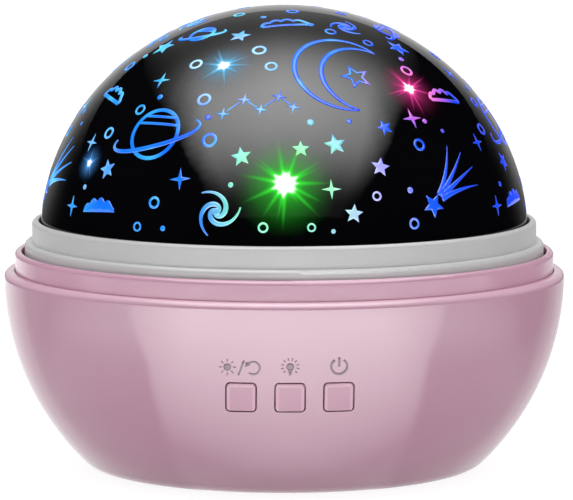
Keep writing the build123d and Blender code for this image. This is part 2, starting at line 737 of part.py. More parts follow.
def dome_form(inset, z_low):
    """Solid half ellipsoid on a short skirt, set in by inset behind the dome's outer face."""
    radius = dome_r - inset
    rise = DOME_RISE - inset
    apex_z = dome_spring_z + rise
    side_handle = (radius, dome_spring_z + QUARTER_ELLIPSE_SHARE * rise)
    top_handle = (QUARTER_ELLIPSE_SHARE * radius, apex_z)
    return lathe(
        Line((0, z_low), (radius, z_low)),
        Line((radius, z_low), (radius, dome_spring_z)),
        Bezier((radius, dome_spring_z), side_handle, top_handle, (0, apex_z)),
        Line((0, apex_z), (0, z_low)),
    )


def dome():
    """Ellipsoid shell standing on the tray inside the ring, its skirt cut away between the driving tabs."""
    tab_z = tray_top_z - TAB_DEPTH
    body = dome_form(0, tab_z) - dome_form(DOME_WALL, tab_z)
    between = cylinder(dome_r + CUT_OVERRUN, tab_z, tray_top_z)
    for block in tab_blocks(0):
        between -= block
    return body - between


# Light source


def led_post():
    """Fixed post: plug in the spigot, flange over the hub, seat for the lamp board."""
    flange_r = SPIGOT_RADIUS + POST_FLANGE_WIDTH
    plug_r = SPIGOT_BORE - PLUG_GAP
    body = turned(
        (LAMP_POST_BORE, spigot_top_z - PLUG_LENGTH, 0),
        (plug_r, spigot_top_z - PLUG_LENGTH, 0),
        (plug_r, spigot_top_z, 0),
        (flange_r, spigot_top_z, 0),
        (flange_r, flange_top_z, 0),
        (LAMP_POST_RADIUS, flange_top_z, 0),
        (LAMP_POST_RADIUS, lamp_seat_z, 0),
        (LAMP_BOARD_RADIUS, lamp_seat_z, 0),
        (LAMP_BOARD_RADIUS, lamp_board_z, 0),
        (LAMP_POST_BORE, lamp_board_z, 0),
    )
    boss_z = lamp_seat_z - LAMP_SCREW_BOSS_LENGTH
    boss = cylinder(LAMP_SCREW_BOSS_RADIUS, boss_z, lamp_seat_z, LAMP_SCREW_CIRCLE)
    body += ring_of(boss, LAMP_SCREW_COUNT, 45)
    lamp_pilot = cylinder(pilot_radius(SMALL_SCREW_RADIUS), boss_z, lamp_board_z, LAMP_SCREW_CIRCLE)
    body -= ring_of(lamp_pilot, LAMP_SCREW_COUNT, 45)
    hole = cylinder(pilot_radius(SMALL_SCREW_RADIUS), spigot_top_z, flange_top_z, post_screw_circle_r)
    body -= ring_of(hole, POST_SCREW_COUNT)
    return body


def post_screws():
    """Screws through the post's flange into the spigot."""
    down = Pos(post_screw_circle_r, 0, flange_top_z) * screw(SMALL_SCREW_RADIUS, SMALL_SCREW_LENGTH)
    return Compound(ring_of(down, POST_SCREW_COUNT))


def led_board():
    """Round lamp board with its screw holes and the hole for the leads."""
    board = cylinder(LAMP_BOARD_RADIUS, lamp_board_z, lamp_z)
    hole = cylinder(pilot_radius(SMALL_SCREW_RADIUS), lamp_board_z, lamp_z, LAMP_SCREW_CIRCLE)
    board -= ring_of(hole, LAMP_SCREW_COUNT, 45)
    return board


def led_board_screws():
    """Screws that hold the lamp board on the post."""
    down = Pos(LAMP_SCREW_CIRCLE, 0, lamp_z) * screw(SMALL_SCREW_RADIUS, SMALL_SCREW_LENGTH)
    return Compound(ring_of(down, LAMP_SCREW_COUNT, 45))


def led(azimuth):
    """Round lamp with a foot flange and a domed end, standing on the lamp board."""
    barrel_z = lamp_z + LAMP_BARREL
    flange_z = lamp_z + LAMP_FLANGE_HEIGHT
    lamp = lathe(
        Line((0, lamp_z), (LAMP_FLANGE_RADIUS, lamp_z)),
        Line((LAMP_FLANGE_RADIUS, lamp_z), (LAMP_FLANGE_RADIUS, flange_z)),
        Line((LAMP_FLANGE_RADIUS, flange_z), (LAMP_RADIUS, flange_z)),
        Line((LAMP_RADIUS, flange_z), (LAMP_RADIUS, barrel_z)),
        CenterArc((0, barrel_z), LAMP_RADIUS, 0, 90),
        Line((0, barrel_z + LAMP_RADIUS), (0, lamp_z)),
    )
    return Rot(0, 0, azimuth) * Pos(LAMP_CIRCLE, 0, 0) * lamp


# Buttons and control board


def button_places():
    """X of the three buttons, left to right as seen from the front."""
    return [-BUTTON_PITCH, 0, BUTTON_PITCH]


def button(x):
    """Cap whose face follows the bowl, with a retaining flange behind the wall and a stem to its switch."""
    z_low = button_z - BUTTON_WINDOW
    z_high = button_z + BUTTON_WINDOW
    flange_inset = BOWL_WALL + BUTTON_FLANGE_GAP
    behind = bowl_form(flange_inset + BUTTON_FLANGE_THICKNESS, z_low, z_high)
    cap_width = BUTTON_WINDOW - 2 * BUTTON_GAP
    front_y = -SHOULDER_RADIUS
    cap = rounded_bar_y(cap_width, BUTTON_CORNER - BUTTON_GAP, front_y, plunger_y, x, button_z)
    cap = (cap & bowl_form(-BUTTON_PROUD, z_low, z_high)) - behind
    cap = fillet(cap.faces().sort_by(Axis.Y)[0].edges(), BUTTON_ROUND)
    flange_width = BUTTON_WINDOW + 2 * BUTTON_FLANGE_MARGIN
    flange = rounded_bar_y(flange_width, BUTTON_CORNER, front_y, plunger_y, x, button_z)
    flange = (flange & bowl_form(flange_inset, z_low, z_high)) - behind
    stem = cylinder_y(BUTTON_STEM_RADIUS, front_y, plunger_y, x, button_z)
    stem = stem & bowl_form(flange_inset + BUTTON_FLANGE_THICKNESS / 2, z_low, z_high)
    return cap + flange + stem


def plunger(x):
    """The switch's moving pin, against the button's stem."""
    root_y = plunger_y + PLUNGER_PROUD + PLUNGER_ENGAGEMENT
    return cylinder_y(PLUNGER_RADIUS, plunger_y, root_y, x, button_z)


def tact_switches():
    """Three switch bodies on the board, each with a well for its plunger."""
    switch_y = board_y - SWITCH_HEIGHT
    well_end = switch_y + PLUNGER_ENGAGEMENT + BUTTON_TRAVEL + PLUNGER_SLEEVE
    switches = []
    for x in button_places():
        body = rounded_bar_y(SWITCH_WIDTH, SWITCH_CORNER, switch_y, board_y, x, button_z)
        switches.append(body - cylinder_y(PLUNGER_RADIUS + PLUNGER_SLEEVE, switch_y, well_end, x, button_z))
    return Compound(switches)


def control_board():
    """Upright board on the bowl's two board posts."""
    half_width = BOARD_POST_SPAN / 2 + BOARD_EDGE
    half_height = BOARD_HEIGHT / 2
    low_z, high_z = button_z - half_height, button_z + half_height
    board = slab(-half_width, half_width, board_y, board_back_y, low_z, high_z)
    for x in (-BOARD_POST_SPAN / 2, BOARD_POST_SPAN / 2):
        board -= cylinder_y(pilot_radius(SMALL_SCREW_RADIUS), board_y, board_back_y, x, button_z)
    return board


def board_screws():
    """Screws from behind the board into its posts."""
    forward = Rot(-90, 0, 0) * screw(SMALL_SCREW_RADIUS, SMALL_SCREW_LENGTH)
    half_span = BOARD_POST_SPAN / 2
    return Compound([Pos(x, board_back_y, button_z) * forward for x in (-half_span, half_span)])


def control_chip():
    """Controller chip on the back of the board."""
    half = CHIP_WIDTH / 2
    middle_z = button_z - CHIP_DROP
    low_z, high_z = middle_z - CHIP_HEIGHT / 2, middle_z + CHIP_HEIGHT / 2
    return slab(-half, half, board_back_y, board_back_y + CHIP_THICKNESS, low_z, high_z)


def connector_places():
    """X of the lead connectors along the top of the board."""
    return [(i - (CONNECTOR_COUNT - 1) / 2) * CONNECTOR_PITCH for i in range(CONNECTOR_COUNT)]


def board_connectors():
    """Lead connectors on the back of the board."""
    half = CONNECTOR_WIDTH / 2
    low_z = button_z + CONNECTOR_LIFT - CONNECTOR_HEIGHT / 2
    high_z = low_z + CONNECTOR_HEIGHT
    back_y = board_back_y + CONNECTOR_DEPTH
    places = connector_places()
    return Compound([slab(x - half, x + half, board_back_y, back_y, low_z, high_z) for x in places])


# Power inlet


def power_socket():
    """Inlet block on its pedestal, with a round nose in the bowl's hole and a jack bore."""
    half = SOCKET_WIDTH / 2
    high_z = socket_low_z + SOCKET_BODY_HEIGHT
    body = slab(-half, half, socket_back_y, socket_front_y, socket_low_z, high_z)
    body += cylinder_y(NOSE_RADIUS, socket_front_y, nose_y, 0, socket_z)
    body -= cylinder_y(JACK_BORE, nose_y - JACK_DEPTH, nose_y, 0, socket_z)
    return body - socket_pin()


def socket_pin():
    """Centre pin of the jack."""
    root_y = nose_y - JACK_DEPTH - JACK_PIN_ROOT
    return cylinder_y(JACK_PIN_RADIUS, root_y, nose_y - NOSE_RECESS, 0, socket_z)


# Wiring


def lead(*points):
    """One insulated lead along straight runs joined by wide arcs."""
    route = [Vector(*p) for p in points]
    radii = []
    for before, corner, after in zip(route, route[1:], route[2:]):
        run = min((corner - before).length, (after - corner).length)
        turn = radians((corner - before).get_angle(after - corner))
        radii.append(LEAD_BEND_SHARE * run / tan(turn / 2))
    path = FilletPolyline(*route, radius=radii)
    return sweep(Plane(path @ 0, z_dir=path % 0) * Circle(LEAD_RADIUS), path=path)


def lead_x(index, side):
    """X of one of a connector's two leads."""
    return connector_places()[index] + side * LEAD_SPACING / 2


def connector_lead(index, side, *points):
    """Lead straight out of a connector's rear face and on through the given points."""
    x = lead_x(index, side)
    y = board_back_y + CONNECTOR_DEPTH
    z = button_z + CONNECTOR_LIFT
    return lead((x, y, z), (x, y + LEAD_EXIT, z), *points)


def led_leads():
    """From the board to the spigot and up through the post to the lamp board."""
    leads = []
    for side in (-1, 1):
        x = side * LEAD_SPACING / 2
        knee = (x, 0, (bay_top_z + deck_z) / 2)
        leads.append(connector_lead(1, side, knee, (x, 0, lamp_board_z)))
    return Compound(leads)


def motor_leads():
    """From the board under the motor and up to its terminals."""
    terminal_z = can_z - TERMINAL_CAP_HEIGHT
    leads = []
    for side in (-1, 1):
        x = motor_x + side * LEAD_SPACING
        knee = (x, motor_y, (bay_top_z + terminal_z) / 2)
        leads.append(connector_lead(2, side, knee, (x, motor_y, terminal_z)))
    return Compound(leads)


def battery_leads():
    """From the board to the solder tabs of the first and the last cell."""
    tab_x = CONTACT_THICKNESS - bay_length / 2
    tab_z = bay_top_z + TAB_RISE / 2
    leads = []
    for side, y in zip((-1, 1), terminal_rows()):
        leads.append(connector_lead(0, side, (lead_x(0, side), y, tab_z), (tab_x, y, tab_z)))
    return Compound(leads)


def socket_leads():
    """From the board over the battery bay and beside the motor to the inlet's flank."""
    bay_end_y = bay_width / 2 + BAY_WALL
    flank_x = SOCKET_WIDTH / 2
    middle_y = (socket_front_y + socket_back_y) / 2
    leads = []
    for side in (-1, 1):
        x = lead_x(CONNECTOR_COUNT - 1, side)
        y = middle_y + side * LEAD_SPACING / 2
        over_bay = (x, bay_end_y, bay_top_z + LEAD_SPACING)
        beside = (x, y, socket_z)
        leads.append(connector_lead(CONNECTOR_COUNT - 1, side, over_bay, beside, (flank_x, y, socket_z)))
    return Compound(leads)


button_x = dict(zip(("rotate", "light", "power"), button_places()))
lamp_azimuth = dict(zip(("red", "green", "blue", "white"), (0, 90, 180, 270)))

nodes = {
    "bowl_shell": bowl_shell(),
    "rubber_feet": rubber_feet(),
    "case_screws": case_screws(),
    "batteries": batteries(),
    "battery_contacts": battery_contacts(),
    "battery_door": battery_door(),
    "door_screw": door_screw(),
    "deck": deck(),
    "ring_gear": ring_gear(),
    "drive_pinion": drive_pinion(),
    "motor_shaft": motor_shaft(),
    "motor_gearbox": motor_gearbox(),
    "motor_can": motor_can(),
    "motor_screws": motor_screws(),
    "turntable": turntable(),
    "dome": dome(),
    "led_post": led_post(),
    "post_screws": post_screws(),
    "led_board": led_board(),
    "led_board_screws": led_board_screws(),
    "tact_switches": tact_switches(),
    "control_board": control_board(),
    "board_screws": board_screws(),
    "control_chip": control_chip(),
    "board_connectors": board_connectors(),
    "power_socket": power_socket(),
    "socket_pin": socket_pin(),
    "led_leads": led_leads(),
    "motor_leads": motor_leads(),
    "battery_leads": battery_leads(),
    "socket_leads": socket_leads(),
}
for name, azimuth in lamp_azimuth.items():
    nodes[f"led_{name}"] = led(azimuth)
for name, x in button_x.items():
    nodes[f"{name}_button"] = button(x)
    nodes[f"{name}_plunger"] = plunger(x)

os.makedirs("parts", exist_ok=True)
for name, shape in nodes.items():
    export_step(shape, f"parts/{name}.step")
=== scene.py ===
# %% [markdown]
# # Night light projector
#
# A pink bowl carries a white turning ring, and a glossy black dome stands in the ring. Lamps inside the
# base shine through clear windows in the dome's print, so the print glows. The solid parts come from the
# CAD frame and keep their shapes. This lesson adds what the frame lacks: the finish of every surface, the
# glowing print, the lamp glints and the symbols over the buttons, then a plain studio to look at it in.

import bmesh
import bpy
import numpy as np
from mathutils import Matrix, Vector


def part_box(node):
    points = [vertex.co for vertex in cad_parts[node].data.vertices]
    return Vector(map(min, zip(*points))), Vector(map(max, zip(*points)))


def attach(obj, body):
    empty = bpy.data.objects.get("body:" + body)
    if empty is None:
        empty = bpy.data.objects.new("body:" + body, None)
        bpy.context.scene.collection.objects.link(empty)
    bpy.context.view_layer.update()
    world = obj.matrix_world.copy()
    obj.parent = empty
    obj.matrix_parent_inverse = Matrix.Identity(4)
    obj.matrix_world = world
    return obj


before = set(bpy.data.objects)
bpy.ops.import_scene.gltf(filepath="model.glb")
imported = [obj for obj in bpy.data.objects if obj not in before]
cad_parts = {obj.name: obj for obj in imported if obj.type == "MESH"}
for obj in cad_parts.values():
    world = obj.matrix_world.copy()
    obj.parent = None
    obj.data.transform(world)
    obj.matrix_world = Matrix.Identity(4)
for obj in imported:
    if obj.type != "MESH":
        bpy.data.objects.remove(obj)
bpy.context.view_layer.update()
MM = 0.001

# %% [markdown]
# ## Meshes from grids
#
# Every new piece here is a thin print. Each shape is a grid of points, worked out as whole arrays from two
# parameters, and several grids are joined into one mesh. A helper turns grids into quads, merges points
# that meet at a pole or a seam, and gives the sheet a hair of thickness so that it is a closed body.

# %% Grid helpers
INK_THICKNESS = 0.05 * MM
MERGE_DISTANCE = 1e-7
LARGE_FACES = 100


def quads(rows, cols, first):
    """Corner numbers of the quads of a rows by cols grid whose points start at number first."""
    index = first + np.arange(rows * cols).reshape(rows, cols)
    corners = (index[:-1, :-1], index[:-1, 1:], index[1:, 1:], index[1:, :-1])
    return np.stack(corners, axis=-1).reshape(-1, 4)


def facing_out(points, centre):
    """True if a grid's quads face away from centre: the sum of (du x dv) . (point - centre) is over 0."""
    across = np.diff(points, axis=1)[:-1]
    along = np.diff(points, axis=0)[:, :-1]
    normal = np.cross(across, along)
    return np.sum(normal * (points[:-1, :-1] - centre)) > 0


def sheet_mesh(name, grids, centre, fades=None):
    """One mesh from several grids of points, all facing away from centre, and a fade per point if given."""
    points, faces, first = [], [], 0
    for grid in grids:
        rows, cols = grid.shape[:2]
        face = quads(rows, cols, first)
        points.append(grid.reshape(-1, 3))
        faces.append(face if facing_out(grid, centre) else face[:, ::-1])
        first += rows * cols
    mesh = bpy.data.meshes.new(name)
    mesh.from_pydata(np.concatenate(points).tolist(), [], np.concatenate(faces).tolist())
    if fades is not None:
        fade = np.concatenate([f.reshape(-1) for f in fades])
        mesh.attributes.new("fade", "FLOAT", "POINT").data.foreach_set("value", fade.astype(np.float32))
    work = bmesh.new()
    work.from_mesh(mesh)
    bmesh.ops.remove_doubles(work, verts=work.verts, dist=MERGE_DISTANCE)
    work.to_mesh(mesh)
    work.free()
    mesh.shade_smooth()
    return mesh


def print_piece(name, grids, centre, body, material, fades=None):
    """A printed sheet that rides on a body, thickened into a closed body."""
    piece = bpy.data.objects.new(name, sheet_mesh(name, grids, centre, fades))
    bpy.context.collection.objects.link(piece)
    thick = piece.modifiers.new("ink", "SOLIDIFY")
    thick.thickness = INK_THICKNESS
    thick.offset = -1.0
    level = piece.modifiers.new("level", "WEIGHTED_NORMAL")
    level.weight = LARGE_FACES
    piece.data.materials.append(material)
    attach(piece, body)
    print(name, "faces", len(piece.data.polygons))


# %% [markdown]
# ## Shader maths as Python
#
# A finish is a material whose colour and roughness change over the surface. Writing node graphs by hand is
# slow to read, so one small class wraps a socket: adding or multiplying two values adds a Math node. A
# second class holds the material and makes any other node with one method.

# %% Shader helpers


class Value:
    """A socket in a finish's node tree. Arithmetic on it adds Math nodes."""

    def __init__(self, finish, socket):
        self.finish = finish
        self.socket = socket

    def math(self, operation, first, second=0.0):
        return self.finish.node("ShaderNodeMath", {"operation": operation}, {0: first, 1: second})

    def __add__(self, other):
        return self.math("ADD", self, other)

    def __sub__(self, other):
        return self.math("SUBTRACT", self, other)

    def __rsub__(self, other):
        return self.math("SUBTRACT", other, self)

    def __mul__(self, other):
        return self.math("MULTIPLY", self, other)

    def __pow__(self, other):
        return self.math("POWER", self, other)

    def __abs__(self):
        return self.math("ABSOLUTE", self)

    def exp(self):
        return self.math("EXPONENT", self)

    def ramp(self, width):
        """Rise from 0 to 1 as the value goes from 0 to width."""
        return (self * (1 / width)).least(1.0).most(0.0)

    def least(self, other):
        return self.math("MINIMUM", self, other)

    def most(self, other):
        return self.math("MAXIMUM", self, other)

    __radd__ = __add__
    __rmul__ = __mul__


class Finish:
    """A material and its node tree."""

    def __init__(self, name):
        self.material = bpy.data.materials.new(name)
        self.material.use_nodes = True
        self.tree = self.material.node_tree
        self.shader = self.tree.nodes["Principled BSDF"]

    def node(self, kind, settings=None, inputs=None, output=0):
        """Add a node, apply its settings, then set or link its sockets; the named output is the value."""
        node = self.tree.nodes.new(kind)
        for key, value in (settings or {}).items():
            setattr(node, key, value)
        for key, value in (inputs or {}).items():
            self.feed(node.inputs[key], value)
        return Value(self, node.outputs[output])

    def feed(self, socket, value):
        """Link a value to a socket, or set a plain number or colour on it."""
        if isinstance(value, Value):
            self.tree.links.new(value.socket, socket)
        else:
            socket.default_value = value

    def surface(self, **sockets):
        """Feed the shader's sockets, named with underscores for spaces."""
        for key, value in sockets.items():
            self.feed(self.shader.inputs[key.replace("_", " ")], value)
        return self.material

    def place(self):
        """Object coordinates, in metres in the frame's own axes."""
        return self.node("ShaderNodeTexCoord", output="Object")

    def axis(self, place, name):
        """One of the X, Y, Z numbers of a place."""
        return self.node("ShaderNodeSeparateXYZ", inputs={0: place}, output=name)

    def noise(self, place, size, detail=2.0):
        """Smooth noise from 0 to 1 whose lumps are about size metres across."""
        grain = {"Vector": place, "Scale": 1 / size, "Detail": detail}
        return self.node("ShaderNodeTexNoise", inputs=grain)

    def mix(self, factor, first, second):
        """Colour that goes from first to second as factor goes from 0 to 1."""
        return self.node("ShaderNodeMix", {"data_type": "RGBA"}, {0: factor, 6: first, 7: second}, 2)

    def distance(self, place, point):
        """Distance of a place from a fixed point."""
        return self.node("ShaderNodeVectorMath", {"operation": "DISTANCE"}, {0: place, 1: point}, "Value")

    def bump(self, height, depth):
        """Normal of a surface raised by height times depth metres."""
        return self.node("ShaderNodeBump", inputs={"Strength": 1.0, "Distance": depth, "Height": height})


def linear(red, green, blue):
    """Shader colour from screen values of 0 to 255: ((c + 0.055) / 1.055)^2.4, or c / 12.92 where dark."""
    c = np.array([red, green, blue]) / 255
    light = np.where(c <= 0.04045, c / 12.92, ((c + 0.055) / 1.055) ** 2.4)
    return (*light.tolist(), 1.0)


def dress(material, *nodes):
    """Give CAD nodes one finish."""
    for node in nodes:
        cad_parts[node].data.materials.clear()
        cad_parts[node].data.materials.append(material)
    print(material.name, "on", ", ".join(nodes))


# %% [markdown]
# ## Pink moulding
#
# The bowl, its cover and the buttons are glossy pink plastic. The gloss is polished into the mould, so it
# is smooth to the eye, with a faint orange-peel ripple that only bends the reflections, and a very slight
# cloudiness in the pigment. Noise at two scales gives both. The bowl's rim and the rounded edges of the
# buttons carry a painted highlight, a paler pink, strongest along the buttons' upper edges.

# %% Pink plastic
PINK_DEEP = linear(190, 144, 165)
PINK_PALE = linear(195, 149, 170)
# The deck's pink is a lighter copy of the bowl's: painted light that makes up for the shade under the ring.
DECK_LIT_DEEP = linear(203, 156, 177)
DECK_LIT_PALE = linear(208, 161, 182)
BUTTON_DEEP = linear(173, 128, 148)
BUTTON_PALE = linear(178, 133, 153)
PIGMENT_CLOUD = 30 * MM
PEEL_RIPPLE = 2.5 * MM
PEEL_DEPTH = 0.012 * MM
SCUFF_SIZE = 6 * MM
SCUFF_ROUGHNESS = 0.05
POLISH = 0.08
BUTTON_SATIN = 0.3
PINK_IOR = 1.52
# Painted highlight: a paler pink laid on the bowl's rim and on the buttons' rounded edges.
HIGHLIGHT_PINK = linear(236, 198, 214)
CAP_HALF = 3.2 * MM
CAP_ROUND = 0.9 * MM
CAP_SIDE_HIGHLIGHT_SHARE = 0.6
RIM_DEPTH = 1.6 * MM
RIM_FADE = 0.8 * MM
RIM_HIGHLIGHT_SHARE = 0.55


def rim_highlight(finish, place, node):
    """Share of painted highlight on the rim of a bowl, falling to 0 below it."""
    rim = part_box(node)[1].z - RIM_DEPTH
    return (finish.axis(place, "Z") - rim).ramp(RIM_FADE) * RIM_HIGHLIGHT_SHARE


def cap_highlight(finish, place, node):
    """Painted highlight: 1 on the upper edge of a button's cap, less on its two sides, falling to 0 over
    the cap's round.
    """
    low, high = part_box(node)
    across = abs(finish.axis(place, "X") - (low.x + high.x) / 2)
    up = finish.axis(place, "Z") - (low.z + high.z) / 2
    inside = CAP_ROUND - CAP_HALF
    return (up + inside).ramp(CAP_ROUND).most((across + inside).ramp(CAP_ROUND) * CAP_SIDE_HIGHLIGHT_SHARE)


def moulded_pink(name, deep, pale, roughness, edge=None, node=None):
    """Glossy plastic: clouded pigment, uneven gloss, orange-peel ripple, and a painted highlight along a
    node's edge.
    """
    finish = Finish(name)
    place = finish.place()
    cloud = finish.noise(place, PIGMENT_CLOUD, detail=3.0)
    scuff = finish.noise(place, SCUFF_SIZE, detail=5.0)
    ripple = finish.bump(finish.noise(place, PEEL_RIPPLE), PEEL_DEPTH)
    colour = finish.mix(cloud, deep, pale)
    # Painted highlight mixed in along a node's edge.
    if edge:
        colour = finish.mix(edge(finish, place, node), colour, HIGHLIGHT_PINK)
    gloss = roughness + SCUFF_ROUGHNESS * scuff
    return finish.surface(Base_Color=colour, Roughness=gloss, Normal=ripple, IOR=PINK_IOR)


bowl_pink = moulded_pink("pink_moulding", PINK_DEEP, PINK_PALE, POLISH, rim_highlight, "bowl_shell")
dress(bowl_pink, "bowl_shell", "battery_door")
# Deck: the bowl's pink lightened, painted light against the ring's shade on the collar.
dress(moulded_pink("pink_deck_lit", DECK_LIT_DEEP, DECK_LIT_PALE, POLISH), "deck")
for button in ("rotate_button", "light_button", "power_button"):
    button_pink = moulded_pink("pink_" + button, BUTTON_DEEP, BUTTON_PALE, BUTTON_SATIN, cap_highlight, button)
    dress(button_pink, button)

# %% [markdown]
# ## White ring and inner mouldings
#
# The turning ring is satin white plastic, which goes grey where the light falls off. Spark-eroded moulds
# leave a fine even texture, so the same recipe with a finer bump serves the ring, the lamp post, the gears
# and the other small mouldings. A table gives each its two tints, its roughness and its nodes.

# %% Satin plastics
SATIN_GRAIN = 0.35 * MM
SATIN_DEPTH = 0.006 * MM
SATIN_TINT = 18 * MM
GRAIN_ROUGHNESS = 0.08


def satin_plastic(name, low, high, roughness):
    """Satin plastic: fine spark-eroded grain and a faint tint from place to place."""
    finish = Finish(name)
    place = finish.place()
    tint = finish.noise(place, SATIN_TINT, detail=3.0)
    grain = finish.noise(place, SATIN_GRAIN, detail=1.0)
    colour = finish.mix(tint, low, high)
    normal = finish.bump(grain, SATIN_DEPTH)
    return finish.surface(Base_Color=colour, Roughness=roughness + GRAIN_ROUGHNESS * grain, Normal=normal)


PLUNGERS = ["rotate_plunger", "light_plunger", "power_plunger"]
SATINS = [
    ("satin_white", (191, 191, 192), (197, 197, 197), 0.34, ["turntable"]),
    ("lamp_post_white", (214, 214, 210), (222, 222, 219), 0.5, ["led_post"]),
    ("gear_acetal", (226, 222, 208), (234, 231, 220), 0.42, ["ring_gear", "drive_pinion"]),
    ("gearbox_grey", (178, 178, 176), (188, 188, 186), 0.5, ["motor_gearbox"]),
    ("connector_cream", (224, 216, 190), (232, 226, 204), 0.5, ["board_connectors"]),
    ("black_moulding", (26, 26, 27), (34, 34, 35), 0.4, ["control_chip", "power_socket", "tact_switches"]),
    ("plunger_grey", (120, 120, 122), (132, 132, 134), 0.45, PLUNGERS),
    ("foot_rubber", (38, 38, 38), (52, 52, 52), 0.75, ["rubber_feet"]),
]
for name, low, high, roughness, nodes in SATINS:
    dress(satin_plastic(name, linear(*low), linear(*high), roughness), *nodes)

# %% [markdown]
# ## Black dome
#
# The dome is a clear cap printed black outside and lacquered, so it is black and almost mirror smooth.
# What shows on it is the studio: a soft panel overhead and the pale floor at its edges. A long slow ripple
# keeps those reflections from looking computed.

# %% Dome lacquer
DOME_BLACK = linear(4, 4, 6)
DOME_SMOKE = linear(9, 9, 12)
LACQUER_RIPPLE = 9 * MM
LACQUER_DEPTH = 0.01 * MM
LACQUER_ROUGHNESS = 0.03
LACQUER_IOR = 1.5


def dome_lacquer():
    """Near-black lacquer with a slow ripple and a faint smokiness."""
    finish = Finish("dome_lacquer")
    place = finish.place()
    smoke = finish.noise(place, PIGMENT_CLOUD)
    ripple = finish.bump(finish.noise(place, LACQUER_RIPPLE), LACQUER_DEPTH)
    colour = finish.mix(smoke, DOME_BLACK, DOME_SMOKE)
    gloss = LACQUER_ROUGHNESS + LACQUER_ROUGHNESS * smoke
    return finish.surface(Base_Color=colour, Roughness=gloss, Normal=ripple, IOR=LACQUER_IOR)


dress(dome_lacquer(), "dome")

# %% [markdown]
# ## Metals
#
# Screws, contacts and the motor can are plated steel. Plating is never quite even: stretched noise gives
# drawn lines on the can, and a mottled roughness gives the screws their cold zinc look.

# %% Plated metals
DRAWN_LINE = 0.4 * MM
DRAWN_STRETCH = (1.0, 1.0, 0.06)
MOTTLE_ROUGHNESS = 0.2


def plated(name, low, high, roughness, stretch=(1.0, 1.0, 1.0)):
    """Plated steel: mottled colour and roughness from noise that may be stretched into drawn lines."""
    finish = Finish(name)
    place = finish.node("ShaderNodeMapping", inputs={"Vector": finish.place(), "Scale": stretch})
    mottle = finish.noise(place, DRAWN_LINE, detail=4.0)
    colour = finish.mix(mottle, low, high)
    return finish.surface(Base_Color=colour, Metallic=1.0, Roughness=roughness + MOTTLE_ROUGHNESS * mottle)


zinc = plated("zinc_plate", linear(150, 152, 156), linear(196, 198, 202), 0.24)
dress(zinc, "case_screws", "board_screws", "motor_screws", "post_screws", "led_board_screws", "door_screw")
nickel = plated("nickel_spring", linear(186, 184, 178), linear(214, 212, 206), 0.16)
dress(nickel, "battery_contacts", "socket_pin")
drawn = plated("drawn_can", linear(156, 157, 160), linear(190, 191, 194), 0.26, DRAWN_STRETCH)
dress(drawn, "motor_can", "motor_shaft")

# %% [markdown]
# ## Circuit boards
#
# A circuit board is glass fibre under a coloured lacquer, with copper tracks that show through as slightly
# raised, lighter lines. A brick pattern with thin joints, read on the board's own plane, stands for them.

# %% Boards
TRACK_PITCH = 2.2 * MM
TRACK_LENGTH = 3 * TRACK_PITCH
TRACK_WIDTH = 0.14 * TRACK_PITCH
TRACK_DEPTH = 0.03 * MM
BOARD_ROUGHNESS = 0.3
WEAVE_ROUGHNESS = 0.15
BLACK = (0.0, 0.0, 0.0, 1.0)
WHITE = (1.0, 1.0, 1.0, 1.0)


def circuit_board(name, lacquer, track, turn):
    """Board lacquer with raised tracks: thin joints of a brick pattern laid on the board's plane."""
    finish = Finish(name)
    place = finish.place()
    flat = finish.node("ShaderNodeMapping", inputs={"Vector": place, "Rotation": turn})
    brick = {"Vector": flat, "Scale": 1.0, "Brick Width": TRACK_LENGTH, "Row Height": TRACK_PITCH}
    brick.update({"Mortar Size": TRACK_WIDTH, "Color1": BLACK, "Color2": BLACK, "Mortar": WHITE})
    lines = finish.node("ShaderNodeTexBrick", inputs=brick, output="Fac")
    weave = finish.noise(place, SATIN_GRAIN)
    colour = finish.mix(lines, lacquer, track)
    normal = finish.bump(lines, TRACK_DEPTH)
    gloss = BOARD_ROUGHNESS + WEAVE_ROUGHNESS * weave
    return finish.surface(Base_Color=colour, Roughness=gloss, Normal=normal)


UPRIGHT = (np.pi / 2, 0.0, 0.0)
LEVEL = (0.0, 0.0, 0.0)
dress(circuit_board("board_green", linear(18, 84, 44), linear(38, 120, 66), UPRIGHT), "control_board")
dress(circuit_board("board_white", linear(224, 224, 220), linear(200, 202, 198), LEVEL), "led_board")

# %% [markdown]
# ## Cells, lamps and leads
#
# The cells have a plain printed jacket, dark with a bright band round the middle, so the finish reads how
# far along the cell a point is. The lamps are tinted clear resin with the lit chip glowing inside,
# brightest towards the tip. The leads have a soft vinyl cover, made by the satin recipe.

# %% Cells, lamps and leads
JACKET_DARK = linear(24, 44, 86)
JACKET_BAND = linear(196, 200, 206)
cell_low, cell_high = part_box("batteries")
BAND_SHARE = 0.16
BAND_HALF = BAND_SHARE * (cell_high.x - cell_low.x)
BAND_EDGE = 0.3 * MM
BAND_METAL = 0.5
JACKET_ROUGHNESS = 0.28
FOIL_ROUGHNESS = 0.12
RESIN_ROUGHNESS = 0.06
RESIN_GLOW = 1.6
RESIN_COAT = 0.6
VINYL_ROUGHNESS = 0.42


def cell_jacket():
    """Printed jacket: a bright band where |x| is less than the band's half width, soft at its edge."""
    finish = Finish("cell_jacket")
    place = finish.place()
    along = abs(finish.axis(place, "X"))
    band = (BAND_HALF - along).ramp(BAND_EDGE)
    foil = finish.noise(place, SATIN_GRAIN, detail=3.0)
    colour = finish.mix(band, JACKET_DARK, JACKET_BAND)
    gloss = JACKET_ROUGHNESS + FOIL_ROUGHNESS * foil
    return finish.surface(Base_Color=colour, Metallic=BAND_METAL * band, Roughness=gloss)


